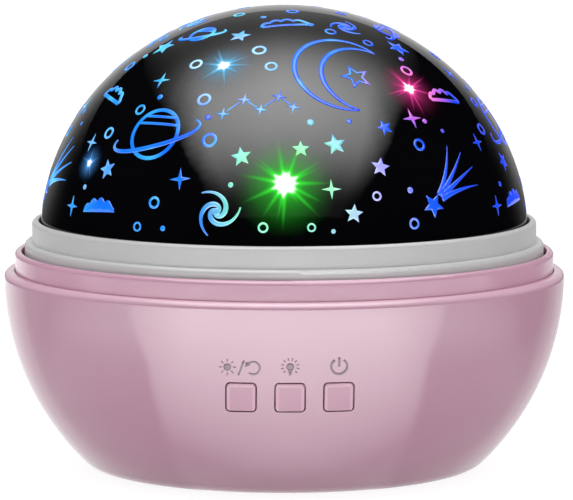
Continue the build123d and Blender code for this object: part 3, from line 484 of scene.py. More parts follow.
def lit_resin(name, tint, glow):
    """Tinted resin that glows towards the tip: emission rises with height squared over the lamp board."""
    finish = Finish(name)
    place = finish.place()
    low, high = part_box("led_red")
    rise = (finish.axis(place, "Z") - low.z).ramp(high.z - low.z)
    light = finish.mix(rise * rise, BLACK, glow)
    gloss = RESIN_ROUGHNESS + RESIN_ROUGHNESS * finish.noise(place, MM)
    finish.surface(Base_Color=tint, Roughness=gloss, Coat_Weight=RESIN_COAT)
    return finish.surface(Emission_Color=light, Emission_Strength=RESIN_GLOW)


dress(cell_jacket(), "batteries")
LAMP_TINTS = {
    "led_red": (linear(214, 70, 110), linear(255, 60, 130)),
    "led_green": (linear(92, 206, 110), linear(80, 255, 110)),
    "led_blue": (linear(70, 110, 220), linear(60, 130, 255)),
    "led_white": (linear(214, 222, 226), linear(200, 240, 255)),
}
for lamp, (tint, glow) in LAMP_TINTS.items():
    dress(lit_resin(lamp + "_resin", tint, glow), lamp)
VINYLS = [
    ("white_vinyl", (216, 214, 208), (228, 226, 220), "led_leads"),
    ("yellow_vinyl", (206, 168, 40), (218, 184, 60), "motor_leads"),
    ("red_vinyl", (160, 24, 26), (178, 34, 34), "battery_leads"),
    ("black_vinyl", (24, 24, 25), (34, 34, 36), "socket_leads"),
]
for name, low, high, leads in VINYLS:
    dress(satin_plastic(name, linear(*low), linear(*high), VINYL_ROUGHNESS), leads)

# %% [markdown]
# ## The print on the dome
#
# The dome's windows are drawn flat, in millimetres, and then laid on the dome. Flat drawing keeps each
# motif simple: a disc, a star, a ribbon along a curve. To lay one down, its points go onto the plane that
# touches the dome at the motif's place, and are then pulled along the line to the dome's centre until they
# meet the dome. Small motifs hardly change; large ones curve with the surface.

# %% Dome surface
dome_low, dome_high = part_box("dome")
ring_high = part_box("turntable")[1]
DOME_SPRING_DEPTH = 4.4 * MM
DOME_RADIUS = (dome_high.x - dome_low.x) / 2
DOME_CENTRE = np.array([0.0, 0.0, ring_high.z - DOME_SPRING_DEPTH])
DOME_RISE = dome_high.z - DOME_CENTRE[2]
PRINT_LIFT = 0.07 * MM


def dome_point(azimuth, elevation):
    """Ellipsoid point: azimuth from the front towards +X, elevation from the spring line, in degrees."""
    a, e = np.radians(azimuth), np.radians(elevation)
    flat = DOME_RADIUS * np.cos(e)
    return DOME_CENTRE + np.array([flat * np.sin(a), -flat * np.cos(a), DOME_RISE * np.sin(e)])


def on_dome(flat, azimuth, elevation, turn=0.0, lift=PRINT_LIFT):
    """Lay a flat grid (u right, v up, millimetres) on the dome, turned by turn degrees.

    The grid goes onto the tangent plane at the place, q = p + u U + v V, and is scaled from the centre by
    1 / sqrt((x^2 + y^2) / A^2 + z^2 / B^2), with A and B the dome's half axes grown by lift.
    """
    a, e, t = np.radians(azimuth), np.radians(elevation), np.radians(turn)
    across = np.array([np.cos(a), np.sin(a), 0.0])
    lean = np.sin(e) * DOME_RADIUS
    rise = np.array([-lean * np.sin(a), lean * np.cos(a), np.cos(e) * DOME_RISE])
    rise /= np.linalg.norm(rise)
    u = (flat[..., 0] * np.cos(t) - flat[..., 1] * np.sin(t)) * MM
    v = (flat[..., 0] * np.sin(t) + flat[..., 1] * np.cos(t)) * MM
    q = dome_point(azimuth, elevation) - DOME_CENTRE + u[..., None] * across + v[..., None] * rise
    half = np.array([DOME_RADIUS + lift, DOME_RADIUS + lift, DOME_RISE + lift])
    return DOME_CENTRE + q / np.linalg.norm(q / half, axis=-1, keepdims=True)


print("dome radius", round(DOME_RADIUS / MM, 2), "rise", round(DOME_RISE / MM, 2))

# %% [markdown]
# ## Flat motifs
#
# Each motif is a list of flat grids, drawn in millimetres as shares of the motif's size. A ribbon follows a
# path with a half width at each point, which draws outlines, crescents, tails and spirals. A patch fills
# the space between two curves, which draws stars, clouds and spots.

# %% Motif shapes
STROKE = 0.45
HOOP_INNER_SHARE = 0.62
STAR_NOTCH_SHARE = 0.45
SPARKLE_NOTCH_SHARE = 0.24
OUTLINE_INNER_SHARE = 0.66
OUTLINE_NOTCH_SHARE = 0.3


def ribbon(path, half):
    """Strip along a path of (u, v) points: p(s) + w n(s), with n the path's left normal and |w| <= half."""
    step = np.gradient(path, axis=0)
    left = np.stack([-step[:, 1], step[:, 0]], axis=1) / np.linalg.norm(step, axis=1, keepdims=True)
    across = np.linspace(-1, 1, 3)[None, :, None]
    half = np.broadcast_to(half, len(path))[:, None, None]
    return path[:, None, :] + across * half * left[:, None, :]


def between(inner, outer, rows=3):
    """Patch whose rows go from one curve to another: (1 - w) inner + w outer."""
    w = np.linspace(0, 1, rows)[:, None, None]
    return (1 - w) * inner[None] + w * outer[None]


def circle(radius, count=33, start=0.0, sweep=360.0):
    """Points round a circle arc: radius (cos a, sin a)."""
    a = np.radians(np.linspace(start, start + sweep, count))
    return radius * np.stack([np.cos(a), np.sin(a)], axis=1)


def filled(edge):
    """Patch from the middle out to an edge."""
    return [between(0 * edge, edge)]


def disc(radius):
    """Filled round spot."""
    return filled(circle(radius, 25))


def hoop(radius):
    """Round outline, its stroke a share of its size."""
    return [between(circle(radius * HOOP_INNER_SHARE), circle(radius), 2)]


def star_edge(points, outer, inner):
    """Star outline: straight lines between tips at outer and notches at inner, each cut in four."""
    k = np.arange(2 * points + 1)
    a = np.pi / 2 + k * np.pi / points
    r = np.where(k % 2 == 0, outer, inner)
    s = np.linspace(0, 2 * points, 8 * points + 1)
    return np.stack([np.interp(s, k, r * np.cos(a)), np.interp(s, k, r * np.sin(a))], axis=1)


def star(size):
    """Filled five-pointed star."""
    return filled(star_edge(5, size, STAR_NOTCH_SHARE * size))


def sparkle(size):
    """Filled four-pointed star with thin arms."""
    return filled(star_edge(4, size, SPARKLE_NOTCH_SHARE * size))


def star_outline(size):
    """Five-pointed star drawn as a line."""
    inner = star_edge(5, OUTLINE_INNER_SHARE * size, OUTLINE_NOTCH_SHARE * size)
    return [between(inner, star_edge(5, size, STAR_NOTCH_SHARE * size), 2)]


# %% [markdown]
# The larger motifs are put together from the same ribbons and patches. A ribbon's half width follows a
# sine or a straight fall along its path, so a line thins out at its ends like a brush stroke.

# %% Crescent and clouds
HORN_ANGLE = 62.0
INNER_ARC_SHARE = 0.42
CRESCENT_STROKE = 1.3 * STROKE
CRESCENT_THIN = 0.35
CLOUD_HEIGHT_SHARE = 0.62
CLOUD_WAVE = 0.28
CLOUD_SHIFT = 0.12


def crescent(size):
    """Crescent outline: an outer arc and a flatter inner arc, two ribbons that meet at the horns."""
    outer = circle(size, 65, HORN_ANGLE, 360 - 2 * HORN_ANGLE)
    reach = outer[0]
    centre = INNER_ARC_SHARE * size
    inner_r = np.hypot(reach[0] - centre, reach[1])
    angle = np.degrees(np.arctan2(reach[1], reach[0] - centre))
    inner = circle(inner_r, 65, angle, 360 - 2 * angle) + [centre, 0]
    taper = CRESCENT_THIN + (1 - CRESCENT_THIN) * np.sin(np.linspace(0, np.pi, 65))
    return [ribbon(arc, CRESCENT_STROKE * taper) for arc in (outer, inner)]


def cloud_edge(width):
    """Cloud top: a half ellipse sqrt(1 - t^2) whose height is waved by |sin|, over a flat base."""
    t = np.linspace(-1, 1, 61)
    bumps = 1 - CLOUD_WAVE + CLOUD_WAVE * np.abs(np.sin(2 * np.pi * (t + CLOUD_SHIFT)))
    top = CLOUD_HEIGHT_SHARE * width * np.sqrt(np.clip(1 - t**2, 0, 1)) * bumps
    return np.stack([width * t, top], axis=1), np.stack([width * t, 0 * t], axis=1)


def cloud(width):
    """Filled cloud."""
    top, base = cloud_edge(width)
    return [between(base, top, 4)]


def cloud_outline(width):
    """Cloud drawn as a line."""
    top, base = cloud_edge(width)
    return [ribbon(top, STROKE), ribbon(base, STROKE)]


# %% Planet and comet
RING_SHARES = (1.75, 0.5)
RING_SPAN = (-205, 25)
RING_TILT = 18
RING_THIN = 0.5
RING_SWELL = 0.7
BAND_LEVELS = (0.38, 0.66)
BAND_LENGTH_SHARE = 0.86
BAND_STROKE = 0.7 * STROKE
HEAD_SHARE = 0.34
TAIL_LEANS = (-0.32, -0.1, 0.12, 0.34)
TAIL_REACH = 1.75
TAIL_GAP = 0.24
TAIL_BEND_START = 0.3
TAIL_BEND = 1.6
TAIL_STROKE = 1.6 * STROKE
TAIL_TAPER = 0.92


def planet(size):
    """Ringed planet: a round outline, two bands across it and a tilted ring drawn in front."""
    body = between(circle(size - 2 * STROKE), circle(size), 2)
    a = np.linspace(*np.radians(RING_SPAN), 61)
    tilt = np.radians(RING_TILT)
    wide, tall = RING_SHARES
    ring = np.stack([wide * size * np.cos(a), tall * size * np.sin(a)], axis=1)
    ring = ring @ np.array([[np.cos(tilt), np.sin(tilt)], [-np.sin(tilt), np.cos(tilt)]])
    grids = [body, ribbon(ring, STROKE * (RING_THIN + RING_SWELL * np.sin(np.linspace(0, np.pi, 61))))]
    for level in BAND_LEVELS:
        half = BAND_LENGTH_SHARE * size * np.sqrt(1 - level**2)
        band = np.stack([np.linspace(-half, half, 17), np.full(17, level * size)], axis=1)
        grids.append(ribbon(band, BAND_STROKE))
    return grids


def comet(size):
    """Comet: a star head and four tails, v = lean (start + s)^bend, that taper away from it."""
    grids = star(HEAD_SHARE * size)
    s = np.linspace(0, 1, 25)
    for lean in TAIL_LEANS:
        reach = size * (TAIL_REACH - abs(lean))
        bend = lean * (TAIL_BEND_START + s) ** TAIL_BEND
        tail = np.stack([reach * (TAIL_GAP + s), reach * bend], axis=1)
        grids.append(ribbon(tail, TAIL_STROKE * (1 - TAIL_TAPER * s)))
    return grids


# %% Galaxy and constellation
ARM_STARTS = (0, 120, 240)
ARM_TURN = 4.4
ARM_GROWTH = 2.0
ARM_THIN = 0.35
ARM_SWELL = 0.9
MIDDLE_SHARE = 0.16
STAR_SHARES = np.array([[-1.0, -0.3], [-0.45, 0.25], [0.1, -0.05], [0.55, 0.5], [1.05, 0.2]])
POINT_SHARE = 0.24
LINK_SPAN = (0.2, 0.8)
LINK_STROKE = 0.3 * STROKE


def galaxy(size):
    """Spiral: arms r = size exp(growth (s - 1)), thin at both ends, round a bright middle."""
    s = np.linspace(0, 1, 49)
    grids = disc(MIDDLE_SHARE * size)
    for start in ARM_STARTS:
        a = np.radians(start) + ARM_TURN * s
        r = size * np.exp(ARM_GROWTH * (s - 1))
        arm = np.stack([r * np.cos(a), r * np.sin(a)], axis=1)
        grids.append(ribbon(arm, STROKE * (ARM_THIN + ARM_SWELL * np.sin(np.pi * s))))
    return grids


def constellation(size):
    """Five small stars joined by thin lines."""
    places = size * STAR_SHARES
    grids = []
    for place in places:
        grids += [grid + place for grid in sparkle(POINT_SHARE * size)]
    for one, two in zip(places[:-1], places[1:]):
        w = np.linspace(*LINK_SPAN, 9)[:, None]
        grids.append(ribbon((1 - w) * one + w * two, LINK_STROKE))
    return grids


# %% [markdown]
# ## Where the motifs go
#
# One third of the dome is laid out as a table of motif, azimuth, elevation, size and turn, and the
# table is repeated three times round, as a printed sheet with three panels would be. Small hoops and spots
# fill the gaps between the larger motifs.

# %% Layout
PANELS = 3
SKY = [
    (crescent, 21, 50, 11.8, -28), (star_outline, 24, 48, 3.8, 10), (cloud_outline, 0, 70, 5.5, 8),
    (planet, -38, 31, 6.6, 0), (comet, 36, 13, 8.6, 36), (galaxy, -17, 12.5, 5.6, 0),
    (constellation, -9, 39, 7.6, -6), (cloud, -50, 10.5, 5.4, 4), (cloud_outline, 55, 39, 5.0, -10),
    (star, 12, 29, 2.6, 8), (star, 23, 23, 2.3, -14), (star, 3, 28, 2.0, 0), (star, -12, 26, 2.4, 12),
    (star, 15, 12, 2.2, -8), (star, 27, 33, 2.0, 16), (sparkle, 10, 18, 2.3, 0), (sparkle, -27, 20, 2.6, 6),
    (sparkle, 37, 35, 2.6, 0), (sparkle, -46, 46, 2.4, 10), (sparkle, 59, 27, 2.2, 0),
    (star, -50, 21, 2.4, 20), (star, -25, 64, 2.6, 0), (star, 56, 57, 3.0, 12), (planet, -50, 64, 3.4, 8),
    (sparkle, 59, 11, 2.4, 0), (galaxy, 40, 68, 4.0, 40),
]
HOOPS = [
    (-26, 41, 1.7), (-6, 52, 1.5), (-21, 30, 1.8), (36, 28, 1.5), (30, 9, 1.3), (21, 16, 1.1),
    (-33, 14, 1.4), (-6, 9, 1.2), (5, 9, 1.0), (47, 49, 1.6), (-55, 30, 1.5), (-36, 52, 1.6),
    (-12, 58, 1.7), (26, 66, 1.4), (-37, 8, 1.1), (10, 80, 1.5), (-50, 76, 1.4), (41, 60, 1.3),
    (-47, 37, 1.4),
]
SPOTS = [
    (-23, 36, 0.7), (6, 35, 0.8), (17, 35, 0.6), (-14, 19, 0.6), (30, 17, 0.7), (-30, 8, 0.6),
    (41, 34, 0.6), (-42, 41, 0.7), (50, 53, 0.7), (-57, 16, 0.6), (17, 70, 0.8), (-20, 75, 0.7),
    (10, 8, 0.5), (46, 31, 0.5),
]


def panel_copies(table):
    """Every row of a table, once for each panel round the dome."""
    turns = 360 * np.arange(PANELS) / PANELS
    return [(row, turn) for turn in turns for row in table]


big_windows = []
for (motif, azimuth, elevation, size, turn), panel in panel_copies(SKY):
    big_windows += [on_dome(grid, azimuth + panel, elevation, turn) for grid in motif(size)]
small_windows = []
for motif, table in ((hoop, HOOPS), (disc, SPOTS)):
    for (azimuth, elevation, size), panel in panel_copies(table):
        small_windows += [on_dome(grid, azimuth + panel, elevation) for grid in motif(size)]
print("window grids", len(big_windows), len(small_windows))

# %% [markdown]
# ## Light through the windows
#
# The lamps are red, green, blue and white. Most of the dome is blue with drifts of cyan. Close to a lamp's
# spot the windows go pale and take its colour, so the finish measures the distance from each spot and mixes
# the colours by it.

# %% Window glow
WINDOW_BLUE = linear(10, 76, 244)
WINDOW_SKY = linear(34, 146, 248)
WINDOW_AQUA = linear(80, 208, 238)
WINDOW_DEEP = linear(26, 60, 232)
WINDOW_VIOLET = linear(186, 176, 255)
VIOLET_PLACE = (18.0, 16.0)
VIOLET_REACH = 15 * MM
VIOLET_GAIN = 1.6
DRIFT_SIZE = 24 * MM
DRIFT_LOW = 0.36
DRIFT_RISE = 1 / 3.4
PATCH_SIZE = DRIFT_SIZE / 3
PATCH_LOW = 0.5
PATCH_RISE = 0.25
DEEP_REACH = DOME_RADIUS / 1.4
MOST_TINT = 0.85
LAMP_GAIN = 1.5
FILM_DARK = 0.75
FILM_ROUGHNESS = 0.1
WINDOW_LIGHT = 1.0
LAMP_SPOTS = {
    "green": (-1.0, 19.4, 22 * MM, linear(150, 255, 170)),
    "pink": (41.8, 43.3, 13 * MM, linear(255, 120, 200)),
    "cyan": (-24.0, 51.8, 15 * MM, linear(190, 246, 255)),
    "blue": (-57.9, 21.9, 11 * MM, linear(120, 200, 255)),
}


def nearness(finish, place, azimuth, elevation, reach):
    """1 at a place on the dome, falling evenly to 0 at reach metres from it."""
    away = finish.distance(place, tuple(dome_point(azimuth, elevation)))
    return (1 - away * (1 / reach)).most(0.0)


def lit_window():
    """Glowing window: blue to sky blue by slow noise, deep blue at the right, lamp tints near the spots."""
    finish = Finish("lit_window")
    place = finish.place()
    drift = (finish.noise(place, DRIFT_SIZE, detail=1.0) - DRIFT_LOW).ramp(DRIFT_RISE)
    patch = (finish.noise(place, PATCH_SIZE, detail=1.0) - PATCH_LOW).ramp(PATCH_RISE)
    side = finish.axis(place, "X").ramp(DEEP_REACH)
    colour = finish.mix(drift, WINDOW_BLUE, WINDOW_SKY)
    colour = finish.mix(patch * (1 - side), colour, WINDOW_AQUA)
    colour = finish.mix(side * MOST_TINT, colour, WINDOW_DEEP)
    pale = nearness(finish, place, *VIOLET_PLACE, VIOLET_REACH)
    colour = finish.mix((pale * VIOLET_GAIN).least(MOST_TINT), colour, WINDOW_VIOLET)
    for *spot, tint in LAMP_SPOTS.values():
        colour = finish.mix((nearness(finish, place, *spot) * LAMP_GAIN).least(1.0), colour, tint)
    film = finish.mix(FILM_DARK, colour, BLACK)
    finish.surface(Base_Color=film, Roughness=FILM_ROUGHNESS)
    return finish.surface(Emission_Color=colour, Emission_Strength=WINDOW_LIGHT)


window_glow = lit_window()
print_piece("sky_windows", big_windows, DOME_CENTRE, "dome", window_glow)
print_piece("bubble_windows", small_windows, DOME_CENTRE, "dome", window_glow)

# %% [markdown]
# ## Lamp glints
#
# Four clear points in the print lie straight over a lamp, and light bursts from them. Separate rays laid
# over each other look cut out, so each glint is one round sheet with a number at every point: a bright
# core, a soft halo and a fan of thin rays are added up there, and the number sets how much of the glow is
# seen. Uneven steps and lengths keep the rays from looking drawn with a ruler.

# %% Glint bursts
GLINT_LIFT = 0.2 * MM
GLINT_ROWS = 41
GLINT_COLS = 361
GLINT_CROWD = 1.6
GLINTS = {
    "green": (2.1, 12.5, 17, 0.2, linear(60, 235, 60)),
    "pink": (1.2, 9.5, 12, 1.3, linear(255, 70, 165)),
    "cyan": (1.2, 8.5, 10, 0.6, linear(110, 205, 255)),
    "blue": (0.75, 4.8, 8, 2.0, linear(90, 170, 255)),
}
GLINT_LIGHT = 1.3
GLINT_ROUGHNESS = 0.4
CORE_POWER = 2.4
HALO_SHARE = 0.34
HALO_POWER = 1.2
RAY_SHARE = 0.58
RAY_POWER = 1.8
RAY_WIDTH_SHARE = 0.26
RAY_TAPER = 0.75
RAY_SHORTEST = 0.45
RAY_SWAY = 0.4
RAY_STEPS = (2.3, 1.9)
EASE_SHARE = 0.4
WHITE_START = 0.52
WHITE_RISE = 0.4


def burst(core, reach, rays, phase):
    """Flat polar grid of a glint and its fade at each point.

    The fade adds a core exp(-(r / core)^2.4), a halo exp(-(r / 2 core)^1.2) and, for every ray,
    exp(-(r * turn / width)^2) * (1 - r / length)^1.8, with turn the angle away from the ray. The rays grow
    out of the core, and all of it is eased to zero at the rim.
    """
    r = reach * np.linspace(0, 1, GLINT_ROWS)[:, None] ** GLINT_CROWD
    a = np.linspace(0, 2 * np.pi, GLINT_COLS)[None, :]
    halo = HALO_SHARE * np.exp(-((r / (2 * core)) ** HALO_POWER))
    fade = np.exp(-((r / core) ** CORE_POWER)) + halo + 0 * a
    grown = 1 - np.exp(-((r / core) ** 3))
    turn_step, length_step = RAY_STEPS
    for ray in range(rays):
        angle = 2 * np.pi * (ray + RAY_SWAY * np.sin(turn_step * ray + phase)) / rays
        length = reach * (RAY_SHORTEST + (1 - RAY_SHORTEST) * abs(np.cos(length_step * ray + phase)))
        turn = np.abs((a - angle + np.pi) % (2 * np.pi) - np.pi)
        width = RAY_WIDTH_SHARE * core * (1 - RAY_TAPER * np.minimum(r / length, 1))
        along = RAY_SHARE * grown * np.clip(1 - r / length, 0, 1) ** RAY_POWER
        fade += along * np.exp(-((r * turn / width) ** 2))
    fade = np.clip(fade, 0, 1) * np.clip((reach - r) / (EASE_SHARE * reach), 0, 1)
    return np.stack([r * np.cos(a), r * np.sin(a)], axis=-1), fade


def glint_light(name, tint):
    """Light seen through the fade stored on the mesh: white at the core, the lamp's colour further out."""
    finish = Finish(name)
    fade = finish.node("ShaderNodeAttribute", {"attribute_name": "fade"}, output="Fac")
    colour = finish.mix((fade - WHITE_START).ramp(WHITE_RISE), tint, WHITE)
    finish.surface(Base_Color=BLACK, Emission_Color=colour, Alpha=fade, Roughness=GLINT_ROUGHNESS)
    return finish.surface(Emission_Strength=GLINT_LIGHT, Specular_IOR_Level=0.0)


for glint, (*shape, tint) in GLINTS.items():
    flat, fade = burst(*shape)
    azimuth, elevation = LAMP_SPOTS[glint][:2]
    laid = on_dome(flat, azimuth, elevation, lift=GLINT_LIFT)
    light = glint_light(glint + "_glint", tint)
    print_piece(glint + "_lamp_glint", [laid], DOME_CENTRE, "dome", light, [fade])

# %% [markdown]
# ## Symbols over the buttons
#
# Grey symbols are pad-printed on the bowl over each button: a sun, a stroke and a turning arrow, a light
# bulb, and the usual on-off sign. They are drawn flat in millimetres with the same ribbons and laid on the
# bowl: x and z come from the drawing, and y from the bowl's own side, one arc turned about the axis.

# %% Bowl surface
bowl_low, bowl_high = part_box("bowl_shell")
FOOT_EDGE_RADIUS = 45.0 * MM
SHOULDER_EDGE_RADIUS = (bowl_high.x - bowl_low.x) / 2
BOWL_HEIGHT = bowl_high.z - bowl_low.z
BOWL_BULGE = 5.4 * MM
chord_across = SHOULDER_EDGE_RADIUS - FOOT_EDGE_RADIUS
chord = np.hypot(chord_across, BOWL_HEIGHT)
side_radius = (chord**2 / 4 + BOWL_BULGE**2) / (2 * BOWL_BULGE)
side_offset = side_radius - BOWL_BULGE
side_centre_r = (FOOT_EDGE_RADIUS + SHOULDER_EDGE_RADIUS) / 2 - side_offset * BOWL_HEIGHT / chord
side_centre_z = bowl_low.z + BOWL_HEIGHT / 2 + side_offset * chord_across / chord
ICON_LIFT = 0.06 * MM


def on_bowl(flat, x, z):
    """Lay a flat grid on the bowl's front: r(z) = c + sqrt(R^2 - (z - cz)^2), y = -sqrt(r^2 - x^2)."""
    across = x + flat[..., 0] * MM
    up = z + flat[..., 1] * MM
    r = side_centre_r + np.sqrt((side_radius + ICON_LIFT) ** 2 - (up - side_centre_z) ** 2)
    return np.stack([across, -np.sqrt(r**2 - across**2), up], axis=-1)


print("bowl shoulder", round(SHOULDER_EDGE_RADIUS / MM, 2), "side radius", round(side_radius / MM, 2))

# %% Symbol drawings
PEN = 0.21
RAY_PEN = 0.13
SUN_DISC = 0.83
SUN_RAYS = (1.25, 1.88)
SUN_PLACE = (-3.06, 0.1)
SLASH_END = np.array([0.63, 1.68])
ARROW_RADIUS = 1.43
ARROW_SPAN = (148, -280)
ARROW_HEAD = np.array([[-1.75, 0.15], [-0.62, 0.72], [-1.62, 1.42]])
ARROW_PLACE = (2.65, 0.0)
BULB_DISC = 0.86
BULB_NECK = ((0, -0.5), (0, -1.3), 0.42)
BULB_CAP = ((0, -1.4), (0, -1.95), 0.24)
BULB_RAYS = (1.45, 2.02)
BULB_RAY_ANGLES = np.arange(-42, 223, 29.3)
BULB_PLACE = (0, 0.3)
ON_OFF_PEN = 0.25
ON_OFF_RADIUS = 1.75
ON_OFF_SPAN = (124, 292)
ON_OFF_STROKE = ((0, 0), (0, 2.08))
ON_OFF_PLACE = (0, 0.25)


def bar(start, end, half=PEN):
    """Straight stroke between two points."""
    w = np.linspace(0, 1, 5)[:, None]
    return ribbon((1 - w) * np.array(start) + w * np.array(end), half)


def rays(inner, outer, angles):
    """Short strokes outwards at each angle in degrees."""
    ways = [np.array([np.cos(angle), np.sin(angle)]) for angle in np.radians(angles)]
    return [bar(inner * way, outer * way, RAY_PEN) for way in ways]


def moved(grids, place):
    """Flat grids shifted to a place (u, v)."""
    return [grid + np.array(place) for grid in grids]


def sun_turn_symbol():
    """Sun, slanted stroke and a turning arrow, side by side."""
    sun = disc(SUN_DISC) + rays(*SUN_RAYS, np.arange(0, 360, 45))
    head = between(ARROW_HEAD[[0, 0]], ARROW_HEAD[1:])
    arrow = [ribbon(circle(ARROW_RADIUS, 41, *ARROW_SPAN), PEN), head]
    return moved(sun, SUN_PLACE) + [bar(-SLASH_END, SLASH_END)] + moved(arrow, ARROW_PLACE)


def bulb_symbol():
    """Filled light bulb on a narrow cap, with rays all round it."""
    stem = [bar(*BULB_NECK), bar(*BULB_CAP)]
    return moved(disc(BULB_DISC) + stem + rays(*BULB_RAYS, BULB_RAY_ANGLES), BULB_PLACE)


def on_off_symbol():
    """Open ring with a stroke through its gap."""
    ring = ribbon(circle(ON_OFF_RADIUS, 49, *ON_OFF_SPAN), ON_OFF_PEN)
    return moved([ring, bar(*ON_OFF_STROKE, ON_OFF_PEN)], ON_OFF_PLACE)


# %% [markdown]
# Pad-printing ink is a thin matt film, so it is grey, slightly uneven and less glossy than the bowl.

# %% Symbols
INK_GREY = linear(116, 98, 107)
INK_PALE = linear(128, 111, 119)
INK_ROUGHNESS = 0.42
SYMBOL_RISE = 6.85 * MM
symbol_ink = satin_plastic("symbol_ink", INK_GREY, INK_PALE, INK_ROUGHNESS)
button_low, button_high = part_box("light_button")
symbol_z = (button_low.z + button_high.z) / 2 + SYMBOL_RISE
BOWL_CENTRE = np.array([0.0, 0.0, symbol_z])
SYMBOLS = {"rotate_button": sun_turn_symbol, "light_button": bulb_symbol, "power_button": on_off_symbol}
for node, drawing in SYMBOLS.items():
    low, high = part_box(node)
    laid = [on_bowl(grid, (low.x + high.x) / 2, symbol_z) for grid in drawing()]
    print_piece(node.replace("button", "symbol"), laid, BOWL_CENTRE, "base", symbol_ink)

# %% [markdown]
# ## Studio
#
# The product stands on a plain white floor under soft light, with a white wall round the floor. Glossy
# plastic shows its surroundings more than its own colour, so what the camera sees, what lights the matt
# colour and what is mirrored are separate sheets. Blender lets an object be seen by one kind of ray only,
# as a photographer hides a panel just out of the picture: the black dome stays black over a white floor.

# %% Studio sheets
FLOOR_HALF = 4.0
FLOOR_ROUGHNESS = 0.9
FLOOR_GLOW = 0.9
BOUNCE_DROP = 0.5 * MM
BOUNCE_GLOW = 0.17
WALL_GLOW = 1.1
FAR_BELOW = np.array([0.0, 0.0, -9.0])


def stage_sheet(name, grid, material, kinds):
    """Sheet of a grid of points, seen only by the named kinds of rays."""
    sheet = bpy.data.objects.new(name, sheet_mesh(name, [grid], FAR_BELOW))
    bpy.context.collection.objects.link(sheet)
    sheet.data.materials.append(material)
    sheet.visible_camera = "camera" in kinds
    sheet.visible_diffuse = "diffuse" in kinds
    sheet.visible_glossy = "glossy" in kinds
    sheet.visible_transmission = False
    sheet.visible_shadow = False
    print(name, "seen by", kinds)


def level_sheet(name, x_half, y_low, y_high, z, material, kinds):
    """Level rectangle at height z."""
    x, y = np.meshgrid(np.linspace(-x_half, x_half, 9), np.linspace(y_low, y_high, 9))
    stage_sheet(name, np.stack([x, y, np.full_like(x, z)], axis=-1), material, kinds)


def floor_paint(name, shade, glow):
    """Matt paint with a glow of its own."""
    finish = Finish(name)
    finish.surface(Base_Color=shade, Roughness=FLOOR_ROUGHNESS, Specular_IOR_Level=0.0)
    return finish.surface(Emission_Color=WHITE, Emission_Strength=glow)


floor_white = floor_paint("floor_white", linear(130, 130, 130), FLOOR_GLOW)
floor_grey = floor_paint("floor_grey", linear(214, 214, 214), BOUNCE_GLOW)
white_wall = floor_paint("white_wall", BLACK, WALL_GLOW)
level_sheet("floor", FLOOR_HALF, -FLOOR_HALF, FLOOR_HALF, 0.0, floor_white, ("camera",))
level_sheet("bounce_floor", FLOOR_HALF, -FLOOR_HALF, FLOOR_HALF, -BOUNCE_DROP, floor_grey, ("diffuse",))
a, z = np.meshgrid(np.linspace(0, 2 * np.pi, 65), np.linspace(0, FLOOR_HALF, 3))
wall = np.stack([FLOOR_HALF * np.cos(a), FLOOR_HALF * np.sin(a), z], axis=-1)
stage_sheet("wall", wall, white_wall, ("camera",))

# %% [markdown]
# The mirrored floor is a light tent laid flat: bright in a wedge before the bowl, dim at both sides, fairly
# bright behind. The wedge's brightness rises away from the bowl, which gives the front its soft fade, and
# its edges, two straight lines on each side, give the slanted edges of the bright patch. Light spills past
# them. Further out an even band stands for the tent's wall, and the bowl's collar mirrors it.

# %% Mirrored floor
TENT_HALF = 0.6
TENT_LIFT = 0.2 * MM
TENT_LIGHT = 10.0
WEDGE_LIGHT = 7.7
WEDGE_LEAST = 0.4
WEDGE_START = 49 * MM
WEDGE_RISE = 42 * MM
WEDGE_FADE = 270 * MM
WEDGE_FADE_LENGTH = 500 * MM
WEDGE_END = 408 * MM
WEDGE_END_SOFT = 12 * MM
WEDGE_EDGES = ((22.3 * MM, 0.667), (45 * MM, 0.385))
WEDGE_EDGE_SOFT = 5 * MM
WEDGE_AHEAD = (1.6, 0.33)
SPILL_START = 70 * MM
SPILL_RISE = 110 * MM
SPILL_AHEAD = (0.6, 3.4)
BAND_LIGHT = 2.1
BAND_END = 530 * MM
BAND_END_SOFT = 20 * MM
BAND_REAR = 20 * MM
BAND_REAR_SOFT = 60 * MM
REAR_START = 71.256 * MM
REAR_SLOPE = 0.944
REAR_SOFT = 9 * MM
FAR_START = 200 * MM
FAR_SLOPE = 1.505
FAR_SOFT = 120 * MM
DIM_LEVEL = (0.36, 1.0, 0.2, 0.6)
LIT_LEVEL = (0.58, 1.3, 0.35, 0.85)
FAR_LEVEL = (0.42, 0.1)


def glowing(level, strength):
    """Finish a panel whose glow is level, from 0 to 1, times strength."""
    colour = level.finish.mix(level, BLACK, WHITE)
    level.finish.surface(Base_Color=BLACK, Specular_IOR_Level=0.0)
    return level.finish.surface(Emission_Color=colour, Emission_Strength=strength)


def sloped(x, middle, slope, lowest, highest):
    """Glow that falls towards +X: middle - slope x, kept between lowest and highest."""
    return (middle - x * slope).least(highest).most(lowest)


